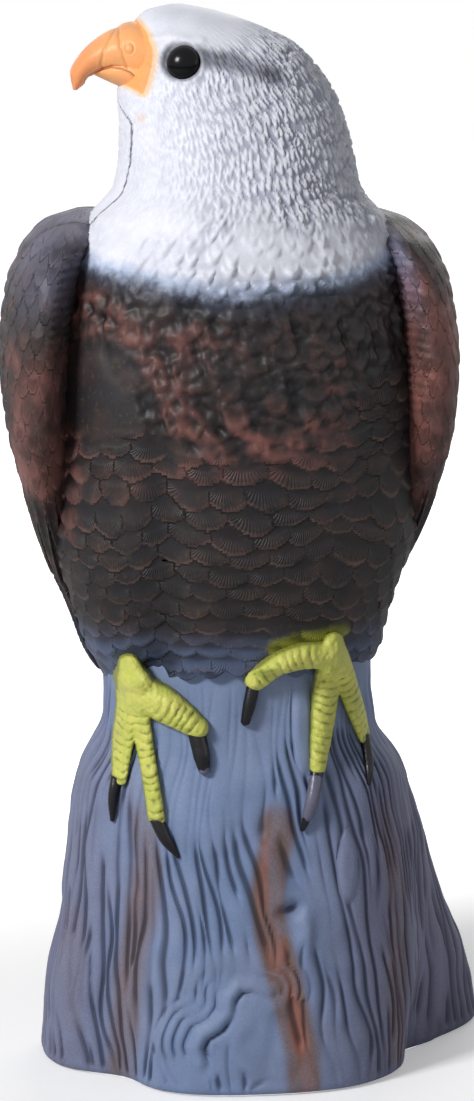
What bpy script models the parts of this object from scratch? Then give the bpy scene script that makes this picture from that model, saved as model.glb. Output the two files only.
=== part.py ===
"""Eagle decoy: a hollow plastic eagle perched on a tree stump, moulded as a front and a rear half.

The stump stands on z = 0, the breast faces -Y and the beak points to -X, because the head is
turned a quarter turn to the bird's own right. All sizes are in metres.
"""
import math
from collections import namedtuple

import bmesh
import bpy
from mathutils import Matrix, Vector

MM = 0.001

# Moulding
WALL = 2.5 * MM                 # plastic thickness of both halves
SEAM_GAP = 0.3 * MM             # between the two halves
FIT_GAP = 0.3 * MM              # between any two pieces that touch
MERGE = 0.001 * MM              # slivers below this are closed up
CRUMB_SIZE = 7 * MM             # closed scraps below this are filled

# Heights, stacked from the ground up
WAIST_Z = 134 * MM              # where the stump is narrowest
LEDGE_Z = WAIST_Z - 22 * MM     # bulge below the waist
SEAT_Z = WAIST_Z + 34 * MM      # top of the stump, inside the bird
HEM_Z = WAIST_Z + 13 * MM       # lower edge of the body feathers at the sides
BREAST_Z = HEM_Z + 108 * MM     # where the body is widest
COLLAR_Z = BREAST_Z + 67 * MM   # foot of the neck
EYE_Z = COLLAR_Z + 57 * MM
CROWN_Z = EYE_Z + 21 * MM
MOUTH_Z = EYE_Z - 3 * MM        # where the beak's halves part, at its root

# Parting line, as y at four heights: it follows the head, which sits forward of the body
PARTING_BASE_Y = 8 * MM
PARTING_SHOULDER_Y = 0 * MM
PARTING_SHOULDER_Z = COLLAR_Z - 32 * MM
HEAD_Y = -8 * MM
HEAD_PARTING_Z = EYE_Z - 34 * MM

# Stump
STUMP_SQUARENESS = 2.35         # 2 would be an ellipse
BASE_EDGE_RADIUS = 3.5 * MM
FLUTE_COUNT = 21
FLUTE_DEPTH = 1.7 * MM
FLUTE_SWAY = 3.5 * MM           # how far the grain wanders sideways
FLUTE_WAVE = 138 * MM           # height in which it wanders once to and fro
COLUMNS_PER_FLUTE = 3

# Bird
BIRD_SQUARENESS = 2.1
HEM_RISE = 13 * MM              # how much higher the hem lies in front

# Feathers: tiers that overlap like shingles
COLUMNS_PER_FEATHER = 4
FEATHER_LIFT = 1.8 * MM         # how far a feather's end stands out
FEATHER_DROP = 6 * MM           # how much lower a feather's tip hangs than its sides
TIER_UNDERCUT = 0.9 * MM        # height of the step under a tier
FEATHERS_ROUND_BODY = 16
BODY_TIERS = 8                  # from the hem to the collar
FEATHERS_ROUND_WING = 8
WING_TIERS = 5
WING_TIER_PITCH = 17 * MM
WING_FIRST_TIER = 22 * MM       # below the collar
FLIGHT_LIFT = 2.2 * MM          # step from one long wing or tail feather to the next
TAIL_FEATHERS_ROUND = 6

# Eyes
EYE_X = -22.8 * MM
EYE_DIAMETER = 12 * MM
EYE_BULGE = 3.6 * MM            # dome above the skin
EYE_SOCKET_DEPTH = 1.6 * MM
EYE_SHANK_DIAMETER = 3.4 * MM
EYE_BOSS_DEPTH = 5.2 * MM       # skin to the flat inner seat of the washer
WASHER_DIAMETER = 9.6 * MM
WASHER_THICKNESS = 1.2 * MM
SHANK_END = 1.5 * MM            # shank past the washer

# Ballast hole and plug
PLUG_Y = 29 * MM
PLUG_STEM_DIAMETER = 22 * MM
PLUG_FLANGE_DIAMETER = 28 * MM
PLUG_FLANGE_THICKNESS = 2.0 * MM
PLUG_STEM_LENGTH = 9 * MM
PLUG_WALL = 1.8 * MM
PLUG_GROUND_CLEARANCE = 1.0 * MM
PLUG_RIM_WALL = 2.5 * MM        # plastic round the recess

Section = namedtuple("Section", "z left right front back")

STUMP_SECTIONS = [
    Section(0 * MM, -77 * MM, 89 * MM, -61 * MM, 52 * MM),
    Section(0.27 * LEDGE_Z, -75 * MM, 87 * MM, -60 * MM, 51 * MM),
    Section(0.55 * LEDGE_Z, -68 * MM, 79 * MM, -58 * MM, 50 * MM),
    Section(0.8 * LEDGE_Z, -65 * MM, 72 * MM, -56 * MM, 49 * MM),
    Section(LEDGE_Z, -61.5 * MM, 65 * MM, -54 * MM, 48 * MM),
    Section(WAIST_Z, -52 * MM, 52 * MM, -49 * MM, 46 * MM),
    Section(SEAT_Z, -51 * MM, 50 * MM, -45 * MM, 43 * MM),
]

BIRD_SECTIONS = [
    Section(HEM_Z, -53.5 * MM, 51.5 * MM, -50 * MM, 49 * MM),
    Section(HEM_Z + 31 * MM, -62 * MM, 58.5 * MM, -56 * MM, 53 * MM),
    Section(BREAST_Z - 45 * MM, -71.5 * MM, 68 * MM, -61 * MM, 53 * MM),
    Section(BREAST_Z, -73 * MM, 69 * MM, -63 * MM, 52 * MM),
    Section(COLLAR_Z - 24 * MM, -67 * MM, 63 * MM, -60 * MM, 49 * MM),
    Section(COLLAR_Z, -56 * MM, 54 * MM, -55 * MM, 44 * MM),
    Section(COLLAR_Z + 12 * MM, -46.5 * MM, 44.5 * MM, -50 * MM, 37 * MM),
    Section(EYE_Z - 34 * MM, -43 * MM, 42 * MM, -46 * MM, 32 * MM),
    Section(EYE_Z - 22 * MM, -42.5 * MM, 39 * MM, -42 * MM, 27 * MM),
    Section(EYE_Z - 11 * MM, -44 * MM, 34.5 * MM, -38.5 * MM, 22.5 * MM),
    Section(EYE_Z - 1 * MM, -41 * MM, 27.5 * MM, -35.5 * MM, 19.5 * MM),
    Section(CROWN_Z - 14 * MM, -41 * MM, 19 * MM, -31.5 * MM, 15.5 * MM),
    Section(CROWN_Z - 7 * MM, -38.6 * MM, 4.5 * MM, -25 * MM, 9 * MM),
    Section(CROWN_Z - 2.5 * MM, -34 * MM, -9 * MM, -17.5 * MM, 1.5 * MM),
    Section(CROWN_Z, -24 * MM, -22 * MM, -9 * MM, -7 * MM),
]

WingSection = namedtuple("WingSection", "z x y chord thickness wrap yaw")

# Folded wing on the bird's left: half chord, half thickness, how far its rear half wraps round
# the back, and how far it turns to the back
WING_SECTIONS = [
    WingSection(COLLAR_Z + 3 * MM, 53 * MM, 7 * MM, 8 * MM, 3 * MM, 2 * MM, 0),
    WingSection(COLLAR_Z - 1 * MM, 58 * MM, 6 * MM, 24 * MM, 10 * MM, 8 * MM, 0),
    WingSection(COLLAR_Z - 9 * MM, 62.5 * MM, 1 * MM, 37 * MM, 13.5 * MM, 15 * MM, 0),
    WingSection(COLLAR_Z - 24 * MM, 68 * MM, 0 * MM, 43 * MM, 14.5 * MM, 22 * MM, 0),
    WingSection(COLLAR_Z - 50 * MM, 70.6 * MM, 0 * MM, 47 * MM, 15 * MM, 25 * MM, 1),
    WingSection(COLLAR_Z - 74 * MM, 69.2 * MM, 3 * MM, 48 * MM, 14 * MM, 24 * MM, 4),
    WingSection(COLLAR_Z - 100 * MM, 63 * MM, 12 * MM, 45 * MM, 12.5 * MM, 19 * MM, 10),
    WingSection(COLLAR_Z - 124 * MM, 52 * MM, 24 * MM, 40 * MM, 11 * MM, 12 * MM, 22),
    WingSection(COLLAR_Z - 148 * MM, 38 * MM, 35 * MM, 33 * MM, 9 * MM, 5 * MM, 40),
    WingSection(COLLAR_Z - 172 * MM, 29 * MM, 44 * MM, 27 * MM, 8 * MM, 2 * MM, 54),
    WingSection(COLLAR_Z - 194 * MM, 19 * MM, 50.5 * MM, 16 * MM, 6.5 * MM, 0 * MM, 66),
    WingSection(COLLAR_Z - 210 * MM, 12.5 * MM, 54 * MM, 4 * MM, 2 * MM, 0 * MM, 74),
]
WINGS_X = -3.6 * MM             # middle between the two wings
WING_ROOT_DEPTH = 24 * MM       # how far the rear of a wing reaches into the body
WING_LIP_DEPTH = 13 * MM        # how far its rounded leading edge does

BeakSection = namedtuple("BeakSection", "top_x top_z low_x low_z width")

# Heights here are counted from the mouth
UPPER_BEAK = [
    BeakSection(-28 * MM, 16 * MM, -28 * MM, -5 * MM, 16.5 * MM),
    BeakSection(-39 * MM, 17.4 * MM, -38 * MM, -2.5 * MM, 14.5 * MM),
    BeakSection(-46 * MM, 15 * MM, -45 * MM, -0.2 * MM, 12 * MM),
    BeakSection(-52.8 * MM, 11 * MM, -51 * MM, -0.6 * MM, 9.5 * MM),
    BeakSection(-58.6 * MM, 5.4 * MM, -54.6 * MM, -2.6 * MM, 7 * MM),
    BeakSection(-62 * MM, -1 * MM, -57.2 * MM, -5.4 * MM, 4.6 * MM),
    BeakSection(-61 * MM, -7.3 * MM, -59.6 * MM, -7.3 * MM, 1.2 * MM),
]
LOWER_BEAK = [
    BeakSection(-28 * MM, 0 * MM, -28 * MM, -13 * MM, 14.5 * MM),
    BeakSection(-39.5 * MM, 1.5 * MM, -38 * MM, -10 * MM, 11.5 * MM),
    BeakSection(-46.5 * MM, 2 * MM, -45 * MM, -7 * MM, 8.5 * MM),
    BeakSection(-53 * MM, 0.4 * MM, -52 * MM, -3 * MM, 3 * MM),
]

Toe = namedtuple("Toe", "root knuckle tip claw_end width")

# Toes as x on the skin and height above the stump's waist: where they leave the leg, bend and
# end, and where the claw ends
LEFT_FOOT = {
    "leg": ((-43 * MM, 27 * MM), (-44 * MM, 14 * MM), 13 * MM),
    "toes": [
        Toe((-42 * MM, 15 * MM), (-30 * MM, 12.5 * MM), (-19 * MM, 6 * MM),
            (-17.5 * MM, -12 * MM), 13 * MM),
        Toe((-42 * MM, 13 * MM), (-38 * MM, -8 * MM), (-33.5 * MM, -27 * MM),
            (-27 * MM, -42 * MM), 11 * MM),
        Toe((-45 * MM, 14 * MM), (-47 * MM, -1 * MM), (-50 * MM, -14 * MM),
            (-52 * MM, -33 * MM), 9.5 * MM),
    ],
}
RIGHT_FOOT = {
    "leg": ((31 * MM, 36 * MM), (30 * MM, 31 * MM), 13 * MM),
    "toes": [
        Toe((29 * MM, 32 * MM), (14 * MM, 31 * MM), (3 * MM, 23.5 * MM),
            (-3 * MM, 6 * MM), 12.5 * MM),
        Toe((30 * MM, 31 * MM), (28.5 * MM, 11 * MM), (25 * MM, -9 * MM),
            (18 * MM, -34 * MM), 13 * MM),
        Toe((33 * MM, 33 * MM), (41 * MM, 14 * MM), (47 * MM, -5 * MM),
            (47.5 * MM, -25 * MM), 10.5 * MM),
    ],
}
TOE_SINK = 0.25                 # share of a toe's radius below the skin
SCUTE_LIFT = 0.08               # share of a toe's radius that each scale ring stands out
TOE_RINGS = 9
CLAW_SHARE = 0.6                # thickness of a claw beside its toe's
CLAW_SINK = 0.5                 # share of a claw's radius below the skin

# Tail fan behind the wing tips
TAIL_TOP_Z = HEM_Z + 43 * MM
TAIL_TIP_Z = HEM_Z - 49 * MM
TAIL_TOP_WIDTH = 34 * MM
TAIL_TIP_WIDTH = 50 * MM
TAIL_THICKNESS = 9 * MM
TAIL_TOP_Y = 46 * MM
TAIL_TIP_Y = 53 * MM

# Root lobes of the stump: angle seen from above, share of the radius, angular width
RootLobe = namedtuple("RootLobe", "angle reach width")
ROOT_LOBES = [
    RootLobe(33, 0.28, 24),
    RootLobe(343, -0.31, 20),
    RootLobe(310, -0.09, 20),
    RootLobe(217, -0.22, 15),
    RootLobe(75, -0.09, 15),
    RootLobe(132, -0.10, 15),
]


def clear_scene():
    """Start from an empty scene."""
    for thing in list(bpy.data.objects):
        bpy.data.objects.remove(thing, do_unlink=True)


def curve_value(knots, values, place):
    """Smooth curve through the knots that never overshoots them."""
    steps = [(b - a) / (kb - ka) for a, b, ka, kb in zip(values, values[1:], knots, knots[1:])]
    slopes = [steps[0]]
    for before, after in zip(steps, steps[1:]):
        level = before * after <= 0
        slopes.append(0 if level else 2 * before * after / (before + after))
    slopes.append(steps[-1])
    place = min(max(place, knots[0]), knots[-1])
    index = max(i for i in range(len(knots) - 1) if knots[i] <= place)
    span = knots[index + 1] - knots[index]
    t = (place - knots[index]) / span
    return ((1 + 2 * t) * (1 - t) ** 2 * values[index] + t * (1 - t) ** 2 * span * slopes[index]
            + t * t * (3 - 2 * t) * values[index + 1] - t * t * (1 - t) * span * slopes[index + 1])


def section_at(sections, z):
    """Section of a form at any height, all its values on smooth curves."""
    rising = sorted(sections)
    knots = [section.z for section in rising]
    columns = list(zip(*rising))[1:]
    return type(rising[0])(z, *(curve_value(knots, column, z) for column in columns))


def oval(section, angle, squareness):
    """Centre, and the point at an angle, of a rounded section."""
    centre = Vector(((section.left + section.right) / 2, (section.front + section.back) / 2, section.z))
    power = 2 / squareness
    across = (section.right - section.left) / 2 * math.copysign(abs(math.cos(angle)) ** power, math.cos(angle))
    along = (section.back - section.front) / 2 * math.copysign(abs(math.sin(angle)) ** power, math.sin(angle))
    return centre, centre + Vector((across, along, 0))


def skin_y(sections, squareness, x, z):
    """Depth of the front skin of a form at x and z, or 0 beside it."""
    section = section_at(sections, z)
    half = (section.right - section.left) / 2
    share = abs(x - (section.left + section.right) / 2) / half
    if share >= 1 or not min(sections).z <= z <= max(sections).z:
        return 0.0
    middle = (section.front + section.back) / 2
    return middle - (section.back - section.front) / 2 * (1 - share ** squareness) ** (1 / squareness)


def front_y(x, z):
    """Depth of the outermost front skin, stump or bird."""
    return min(skin_y(STUMP_SECTIONS, STUMP_SQUARENESS, x, z), skin_y(BIRD_SECTIONS, BIRD_SQUARENESS, x, z))


def stump_point(z, angle, sway=0.0, groove=0.0):
    """Point of the bark: an oval with root lobes that grow towards the ground."""
    section = section_at(STUMP_SECTIONS, z)
    centre, point = oval(section, angle, STUMP_SQUARENESS)
    spread = max(0.0, 1 - z / WAIST_Z) ** 1.3
    swell = 0.0
    for lobe in ROOT_LOBES:
        turn = (math.degrees(angle) - lobe.angle + 180) % 360 - 180
        swell += lobe.reach * math.exp(-(turn / lobe.width) ** 2)
    radial = point - centre
    point = centre + radial * (1 + swell * spread)
    outward = radial.normalized()
    edge = max(0.0, BASE_EDGE_RADIUS - z)
    rounding = BASE_EDGE_RADIUS - math.sqrt(max(0.0, BASE_EDGE_RADIUS ** 2 - edge ** 2))
    sideways = Vector((-outward.y, outward.x, 0))
    return point - outward * (groove + rounding) + sideways * sway


def bird_point(z, angle, lift=0.0):
    """Point of the bird's skin; the feather hem climbs towards the front."""
    section = section_at(BIRD_SECTIONS, max(z, HEM_Z))
    centre, point = oval(section, angle, BIRD_SQUARENESS)
    outward = (point - centre).normalized()
    frontness = max(0.0, -math.sin(angle)) ** 2
    rise = HEM_RISE * frontness * min(1.0, max(0.0, 1 - (z - HEM_Z) / (4 * HEM_RISE))) ** 2
    point.z = z + rise
    return point + outward * lift


def close_end(mesh, loop, tip):
    """Close the end of a skin with a flat face, or with a fan to a tip."""
    if tip is None:
        mesh.faces.new(loop)
        return
    apex = mesh.verts.new(tip)
    for here, there in zip(loop, loop[1:] + loop[:1]):
        mesh.faces.new((here, there, apex))


def mesh_from_rings(name, rings, low_tip=None, high_tip=None):
    """Skin a stack of rings; each end is flat, or drawn to a tip."""
    mesh = bmesh.new()
    loops = [[mesh.verts.new(point) for point in ring] for ring in rings]
    count = len(loops[0])
    for low, high in zip(loops, loops[1:]):
        for i in range(count):
            j = (i + 1) % count
            mesh.faces.new((low[i], low[j], high[j], high[i]))
    close_end(mesh, loops[0][::-1], low_tip)
    close_end(mesh, loops[-1], high_tip)
    bmesh.ops.recalc_face_normals(mesh, faces=mesh.faces)
    return object_from(name, mesh)


def object_from(name, mesh):
    """Object that holds a finished bmesh."""
    data = bpy.data.meshes.new(name)
    mesh.to_mesh(data)
    mesh.free()
    thing = bpy.data.objects.new(name, data)
    bpy.context.scene.collection.objects.link(thing)
    return thing


def shrink(thing, depth):
    """Move every face of a closed form inwards by the same depth."""
    mesh = bmesh.new()
    mesh.from_mesh(thing.data)
    mesh.normal_update()
    moves = [vert.normal * depth * min(vert.calc_shell_factor(), 2.0) for vert in mesh.verts]
    for vert, move in zip(mesh.verts, moves):
        vert.co -= move
    mesh.to_mesh(thing.data)
    mesh.free()
    return thing


def drop_crumbs(mesh):
    """Remove closed scraps, such as a pinch of air caught between a toe and the hem."""
    unseen = set(mesh.verts)
    while unseen:
        island = {unseen.pop()}
        edge = set(island)
        while edge:
            edge = {link.other_vert(vert) for vert in edge for link in vert.link_edges} & unseen
            unseen -= edge
            island |= edge
        spans = [max(vert.co[axis] for vert in island) - min(vert.co[axis] for vert in island) for axis in range(3)]
        if max(spans) < CRUMB_SIZE:
            bmesh.ops.delete(mesh, geom=list(island), context="VERTS")


def combine(target, others, operation):
    """Boolean of a target with other forms, which are used up."""
    tools = bpy.data.collections.new("tools")
    for other in others:
        tools.objects.link(other)
    cut = target.modifiers.new(operation, "BOOLEAN")
    cut.operation = operation
    cut.solver = "EXACT"
    cut.operand_type = "COLLECTION"
    cut.collection = tools
    bpy.context.view_layer.update()
    graph = bpy.context.evaluated_depsgraph_get()
    mesh = bmesh.new()
    mesh.from_object(target, graph)
    bmesh.ops.triangulate(mesh, faces=mesh.faces)
    bmesh.ops.dissolve_degenerate(mesh, dist=MERGE, edges=mesh.edges)
    drop_crumbs(mesh)
    target.modifiers.clear()
    mesh.to_mesh(target.data)
    mesh.free()
    for other in others:
        bpy.data.objects.remove(other, do_unlink=True)
    bpy.data.collections.remove(tools)
    return target


def copy_of(thing, name):
    """Second object with its own copy of the mesh."""
    twin = bpy.data.objects.new(name, thing.data.copy())
    bpy.context.scene.collection.objects.link(twin)
    return twin


def spaced(low, high, count):
    """Evenly spaced values from low to high."""
    return [low + (high - low) * i / (count - 1) for i in range(count)]


def angles(count):
    """Angles round a ring."""
    return [2 * math.pi * i / count for i in range(count)]


def make_stump(inner):
    """Tree stump with bark flutes, or its plain inner form."""
    if inner:
        heights = [0.0, 20 * MM] + spaced(50 * MM, SEAT_Z, 6)
        rings = []
        for z in heights:
            ring = [stump_point(max(z, BASE_EDGE_RADIUS), angle) for angle in angles(24)]
            rings.append([Vector((point.x, point.y, z)) for point in ring])
        return mesh_from_rings("stump_core", rings)
    columns = FLUTE_COUNT * COLUMNS_PER_FLUTE
    heights = [0.0, BASE_EDGE_RADIUS * 0.3, BASE_EDGE_RADIUS] + spaced(13 * MM, SEAT_Z, 9)
    rings = []
    for z in heights:
        fade = min(1.0, max(0.0, (SEAT_Z - z) / (SEAT_Z - WAIST_Z)))
        ring = []
        for index, angle in enumerate(angles(columns)):
            flute = index // COLUMNS_PER_FLUTE
            phase = 2 * math.pi * z / FLUTE_WAVE
            sway = FLUTE_SWAY * math.sin(phase + 3 * angle) * fade
            depth = FLUTE_DEPTH * (0.6 + 0.4 * math.sin(0.6 * phase + 2.4 * flute)) * fade
            groove = depth if index % COLUMNS_PER_FLUTE == 0 else 0.0
            ring.append(stump_point(z, angle, sway, groove))
        rings.append(ring)
    return mesh_from_rings("stump", rings)


def feather_share(column, tier):
    """Place of a column across its feather, 0 to 1; every other tier sits half a feather over."""
    return (column / COLUMNS_PER_FEATHER + 0.5 * (tier % 2)) % 1


def tier_steps(lips, ceiling, columns):
    """Rings of shingled tiers as (heights, stand-outs) per column, from the lowest lip up."""
    drops = []
    for tier in range(len(lips)):
        drops.append([FEATHER_DROP * math.sin(math.pi * feather_share(i, tier)) for i in range(columns)])
    steps = []
    for tier, lip in enumerate(lips):
        steps.append(([lip - drop for drop in drops[tier]], [FEATHER_LIFT / 2] * columns))
        if tier + 1 < len(lips):
            roots = [lips[tier + 1] - drop - TIER_UNDERCUT for drop in drops[tier + 1]]
            steps.append((roots, [-FEATHER_LIFT / 2] * columns))
    steps.append(([ceiling] * columns, [0.0] * columns))
    return steps


def make_bird(inner):
    """Body, neck and head in one loft from the feather hem to the crown."""
    low, _ = oval(section_at(BIRD_SECTIONS, HEM_Z), 0, BIRD_SQUARENESS)
    high, _ = oval(section_at(BIRD_SECTIONS, CROWN_Z), 0, BIRD_SQUARENESS)
    if inner:
        low.z += HEM_RISE
        heights = spaced(HEM_Z + WALL, COLLAR_Z, 8) + spaced(COLLAR_Z, CROWN_Z - 3 * MM, 7)[1:]
        rings = [[bird_point(z, angle) for angle in angles(24)] for z in heights]
        return mesh_from_rings("bird_core", rings, low, high)
    columns = FEATHERS_ROUND_BODY * COLUMNS_PER_FEATHER
    lips = spaced(HEM_Z, COLLAR_Z, BODY_TIERS + 1)[:-1]
    rings = []
    for heights, lifts in tier_steps(lips, COLLAR_Z, columns):
        rings.append([bird_point(z, angle, lift) for z, angle, lift in zip(heights, angles(columns), lifts)])
    for z in spaced(COLLAR_Z, CROWN_Z - 3 * MM, 9)[1:] + [CROWN_Z - 0.8 * MM]:
        rings.append([bird_point(z, angle) for angle in angles(columns)])
    underside = [Vector((point.x * 0.82, point.y * 0.82, point.z + TIER_UNDERCUT)) for point in rings[0]]
    return mesh_from_rings("bird", [underside] + rings, low, high)


def wing_point(side, z, angle, lift=0.0):
    """Point of the folded wing's skin; angle 0 faces outwards and a right angle is its rear edge."""
    wing = section_at(WING_SECTIONS, z)
    yaw = math.radians(wing.yaw)
    chord = Vector((-math.sin(yaw), math.cos(yaw), 0)) * wing.chord
    outward = Vector((math.cos(yaw), math.sin(yaw), 0))
    rearness = min(1.0, max(0.0, 0.5 + 1.2 * math.sin(angle)))
    root = WING_LIP_DEPTH + (WING_ROOT_DEPTH - WING_LIP_DEPTH) * rearness
    depth = wing.thickness if math.cos(angle) > 0 else min(root, 2 * wing.thickness)
    facing = max(0.0, math.cos(angle)) ** 0.5
    point = Vector((wing.x, wing.y, z)) + chord * math.sin(angle)
    point += outward * (depth * math.cos(angle) - wing.wrap * max(0.0, math.sin(angle)) ** 2 + lift * facing)
    return Vector((WINGS_X + side * point.x, point.y, z))


def make_wing(side, inner):
    """Folded wing with its tiers and long flight feathers; side is 1 on +X and -1 on -X."""
    low, high = min(WING_SECTIONS).z, max(WING_SECTIONS).z
    if inner:
        roomy = [z for z in spaced(low, high, 40) if section_at(WING_SECTIONS, z).thickness > 3 * WALL]
        rings = [[wing_point(side, z, angle) for angle in angles(10)] for z in spaced(roomy[0], roomy[-1], 7)]
        return mesh_from_rings("wing_core", rings)
    columns = FEATHERS_ROUND_WING * COLUMNS_PER_FEATHER
    lips = [COLLAR_Z - WING_FIRST_TIER - WING_TIER_PITCH * tier for tier in range(WING_TIERS)][::-1]
    root = lips[0] - FEATHER_DROP - 2 * TIER_UNDERCUT
    steps = []
    for z in spaced(low, root, 7):
        full = min(1.0, (z - low) / WING_TIER_PITCH, (root - z) / WING_TIER_PITCH + 0.3)
        lifts = [FLIGHT_LIFT * full * (feather_share(i, 0) - 0.5) for i in range(columns)]
        steps.append(([z] * columns, lifts))
    drops = [FEATHER_DROP * math.sin(math.pi * feather_share(i, 0)) for i in range(columns)]
    steps.append(([lips[0] - drop - TIER_UNDERCUT for drop in drops], [-FEATHER_LIFT / 2] * columns))
    steps += tier_steps(lips, lips[-1] + WING_TIER_PITCH * 0.6, columns)
    for z in spaced(lips[-1] + WING_TIER_PITCH * 0.6, high, 5)[1:]:
        steps.append(([z] * columns, [0.0] * columns))
    rings = []
    for heights, lifts in steps:
        rings.append([wing_point(side, z, angle, lift)
                      for z, angle, lift in zip(heights, angles(columns), lifts)])
    return mesh_from_rings("wing", rings)


def make_beak(sections):
    """One half of the beak, from its buried root to its tip."""
    rings = []
    for section in sections:
        top = Vector((section.top_x, HEAD_Y, MOUTH_Z + section.top_z))
        low = Vector((section.low_x, HEAD_Y, MOUTH_Z + section.low_z))
        rise = (top - low) / 2
        side = Vector((0, section.width, 0))
        ring = [(top + low) / 2 + rise * math.sin(a) + side * math.cos(a) for a in angles(16)]
        rings.append(ring)
    return mesh_from_rings("beak", rings)


def sweep(name, points, radii, sides=8):
    """Round limb along a path with a radius at each point; its rings never twist."""
    rings = []
    for i, (point, radius) in enumerate(zip(points, radii)):
        ahead = (points[min(i + 1, len(points) - 1)] - points[max(i - 1, 0)]).normalized()
        across = ahead.cross(Vector((0, 1, 0))).normalized()
        outward = across.cross(ahead)
        rings.append([point + (across * math.cos(a) + outward * math.sin(a)) * radius for a in angles(sides)])
    return mesh_from_rings(name, rings)


def path_between(knots, count):
    """Points along a smooth path through three or more knots."""
    marks = list(range(len(knots)))
    axes = list(zip(*knots))
    return [Vector(curve_value(marks, axis, t) for axis in axes) for t in spaced(0, marks[-1], count)]


def on_skin(spot, radius, sink):
    """Centre of a limb of that radius that lies on the skin, sunk in by a share of it."""
    x, z = spot[0], WAIST_Z + spot[1]
    return Vector((x, front_y(x, z) - radius * (1 - sink), z))


def make_toe(toe):
    """Scaly toe that thins to its end, and the claw that grows out of it."""
    radius = toe.width / 2
    knots = [on_skin(spot, radius, TOE_SINK) for spot in (toe.root, toe.knuckle, toe.tip)]
    points = path_between(knots, TOE_RINGS)
    radii = []
    for i in range(TOE_RINGS):
        scale = 1 + (SCUTE_LIFT if i % 2 else -SCUTE_LIFT)
        radii.append(radius * (1.05 - 0.3 * i / TOE_RINGS) * scale)
    radii[-1] = radius * 0.45
    claw_radius = radius * CLAW_SHARE
    claw_end = on_skin(toe.claw_end, claw_radius, CLAW_SINK)
    arch = (points[-1] + claw_end) / 2 + Vector((0, -claw_radius * 0.6, claw_radius * 0.5))
    claw = path_between([points[-3], points[-1], arch, claw_end], 6)
    thinning = (0.8, 1.0, 0.95, 0.75, 0.5, 0.14)
    return [sweep("toe", points, radii), sweep("claw", claw, [claw_radius * share for share in thinning], 6)]


def make_foot(foot):
    """Leg end that comes out of the belly feathers, three scaly toes and their claws."""
    top, ankle, leg_width = foot["leg"]
    leg_radius = leg_width / 2
    buried = (top[0], top[1] + leg_radius / 3)
    knots = [on_skin(buried, leg_radius, 2), on_skin(top, leg_radius, 0.9), on_skin(ankle, leg_radius, TOE_SINK)]
    pieces = [sweep("leg", path_between(knots, 5), [leg_radius * share for share in (0.5, 0.85, 1, 1, 0.95)])]
    for toe in foot["toes"]:
        pieces += make_toe(toe)
    return pieces


def make_tail():
    """Tail fan that hangs down the back under the wing tips, its feathers side by side."""
    columns = TAIL_FEATHERS_ROUND * COLUMNS_PER_FEATHER
    rings = []
    for z in spaced(TAIL_TIP_Z, TAIL_TOP_Z, 7):
        share = (z - TAIL_TIP_Z) / (TAIL_TOP_Z - TAIL_TIP_Z)
        half = (TAIL_TIP_WIDTH * (1 - share) + TAIL_TOP_WIDTH * share) / 2
        thick = TAIL_THICKNESS / 2 * (0.45 + 0.55 * share)
        middle = TAIL_TIP_Y * (1 - share) + TAIL_TOP_Y * share
        ring = []
        for i, a in enumerate(angles(columns)):
            place = feather_share(i, 0)
            drop = FEATHER_DROP * math.sin(math.pi * place) * (1 - share)
            step = FLIGHT_LIFT * (place - 0.5)
            ring.append(Vector((WINGS_X + half * math.cos(a), middle + (thick + step) * math.sin(a), z - drop)))
        rings.append(ring)
    return mesh_from_rings("tail", rings, Vector((WINGS_X, TAIL_TIP_Y, TAIL_TIP_Z)))


def disc(name, radius, low, high, frame, sides=24, shape=None):
    """Turned piece along a frame's own Z, from low to high; shape lists extra (radius, z) steps."""
    steps = [(radius, low), (radius, high)] if shape is None else shape
    rings = [[frame @ Vector((r * math.cos(a), r * math.sin(a), z)) for a in angles(sides)] for r, z in steps]
    return mesh_from_rings(name, rings)


def eye_frame(side):
    """Frame on the head's skin at an eye, its Z pointing out; side is -1 on the front half."""
    step = 1 * MM
    x, z = EYE_X, EYE_Z
    skin = skin_y(BIRD_SECTIONS, BIRD_SQUARENESS, x, z)
    across = Vector((step, skin_y(BIRD_SECTIONS, BIRD_SQUARENESS, x + step, z) - skin, 0))
    upward = Vector((0, skin_y(BIRD_SECTIONS, BIRD_SQUARENESS, x, z + step) - skin, step))
    normal = across.cross(upward).normalized()
    place = Vector((x, skin, z))
    if side > 0:
        place.y = 2 * HEAD_Y - place.y
        normal.y = -normal.y
    return Matrix.Translation(place) @ normal.to_track_quat("Z", "Y").to_matrix().to_4x4()


def front_space(gap):
    """Block that fills everything in front of the parting line, less a gap."""
    reach = 0.2
    profile = [
        (PARTING_BASE_Y, -0.05),
        (PARTING_BASE_Y, SEAT_Z),
        (PARTING_SHOULDER_Y, PARTING_SHOULDER_Z),
        (HEAD_Y, HEAD_PARTING_Z),
        (HEAD_Y, CROWN_Z + 0.05),
    ]
    rings = []
    for y, z in profile:
        rings.append([Vector((-reach, -reach, z)), Vector((reach, -reach, z)),
                      Vector((reach, y - gap, z)), Vector((-reach, y - gap, z))])
    return mesh_from_rings("front_space", rings)


def make_figure():
    """The whole outer form as one solid."""
    figure = make_stump(inner=False)
    figure.name = "figure"
    parts = [make_bird(inner=False), make_wing(1, False), make_wing(-1, False), make_tail()]
    parts += [make_beak(UPPER_BEAK), make_beak(LOWER_BEAK)]
    parts += make_foot(LEFT_FOOT) + make_foot(RIGHT_FOOT)
    return combine(figure, parts, "UNION")


def make_core():
    """The hollow inside, one wall thickness in from the skin."""
    core = shrink(make_stump(inner=True), WALL + FLUTE_DEPTH)
    parts = [shrink(make_bird(inner=True), WALL)]
    parts += [shrink(make_wing(side, inner=True), WALL) for side in (1, -1)]
    return combine(core, parts, "UNION")


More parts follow.
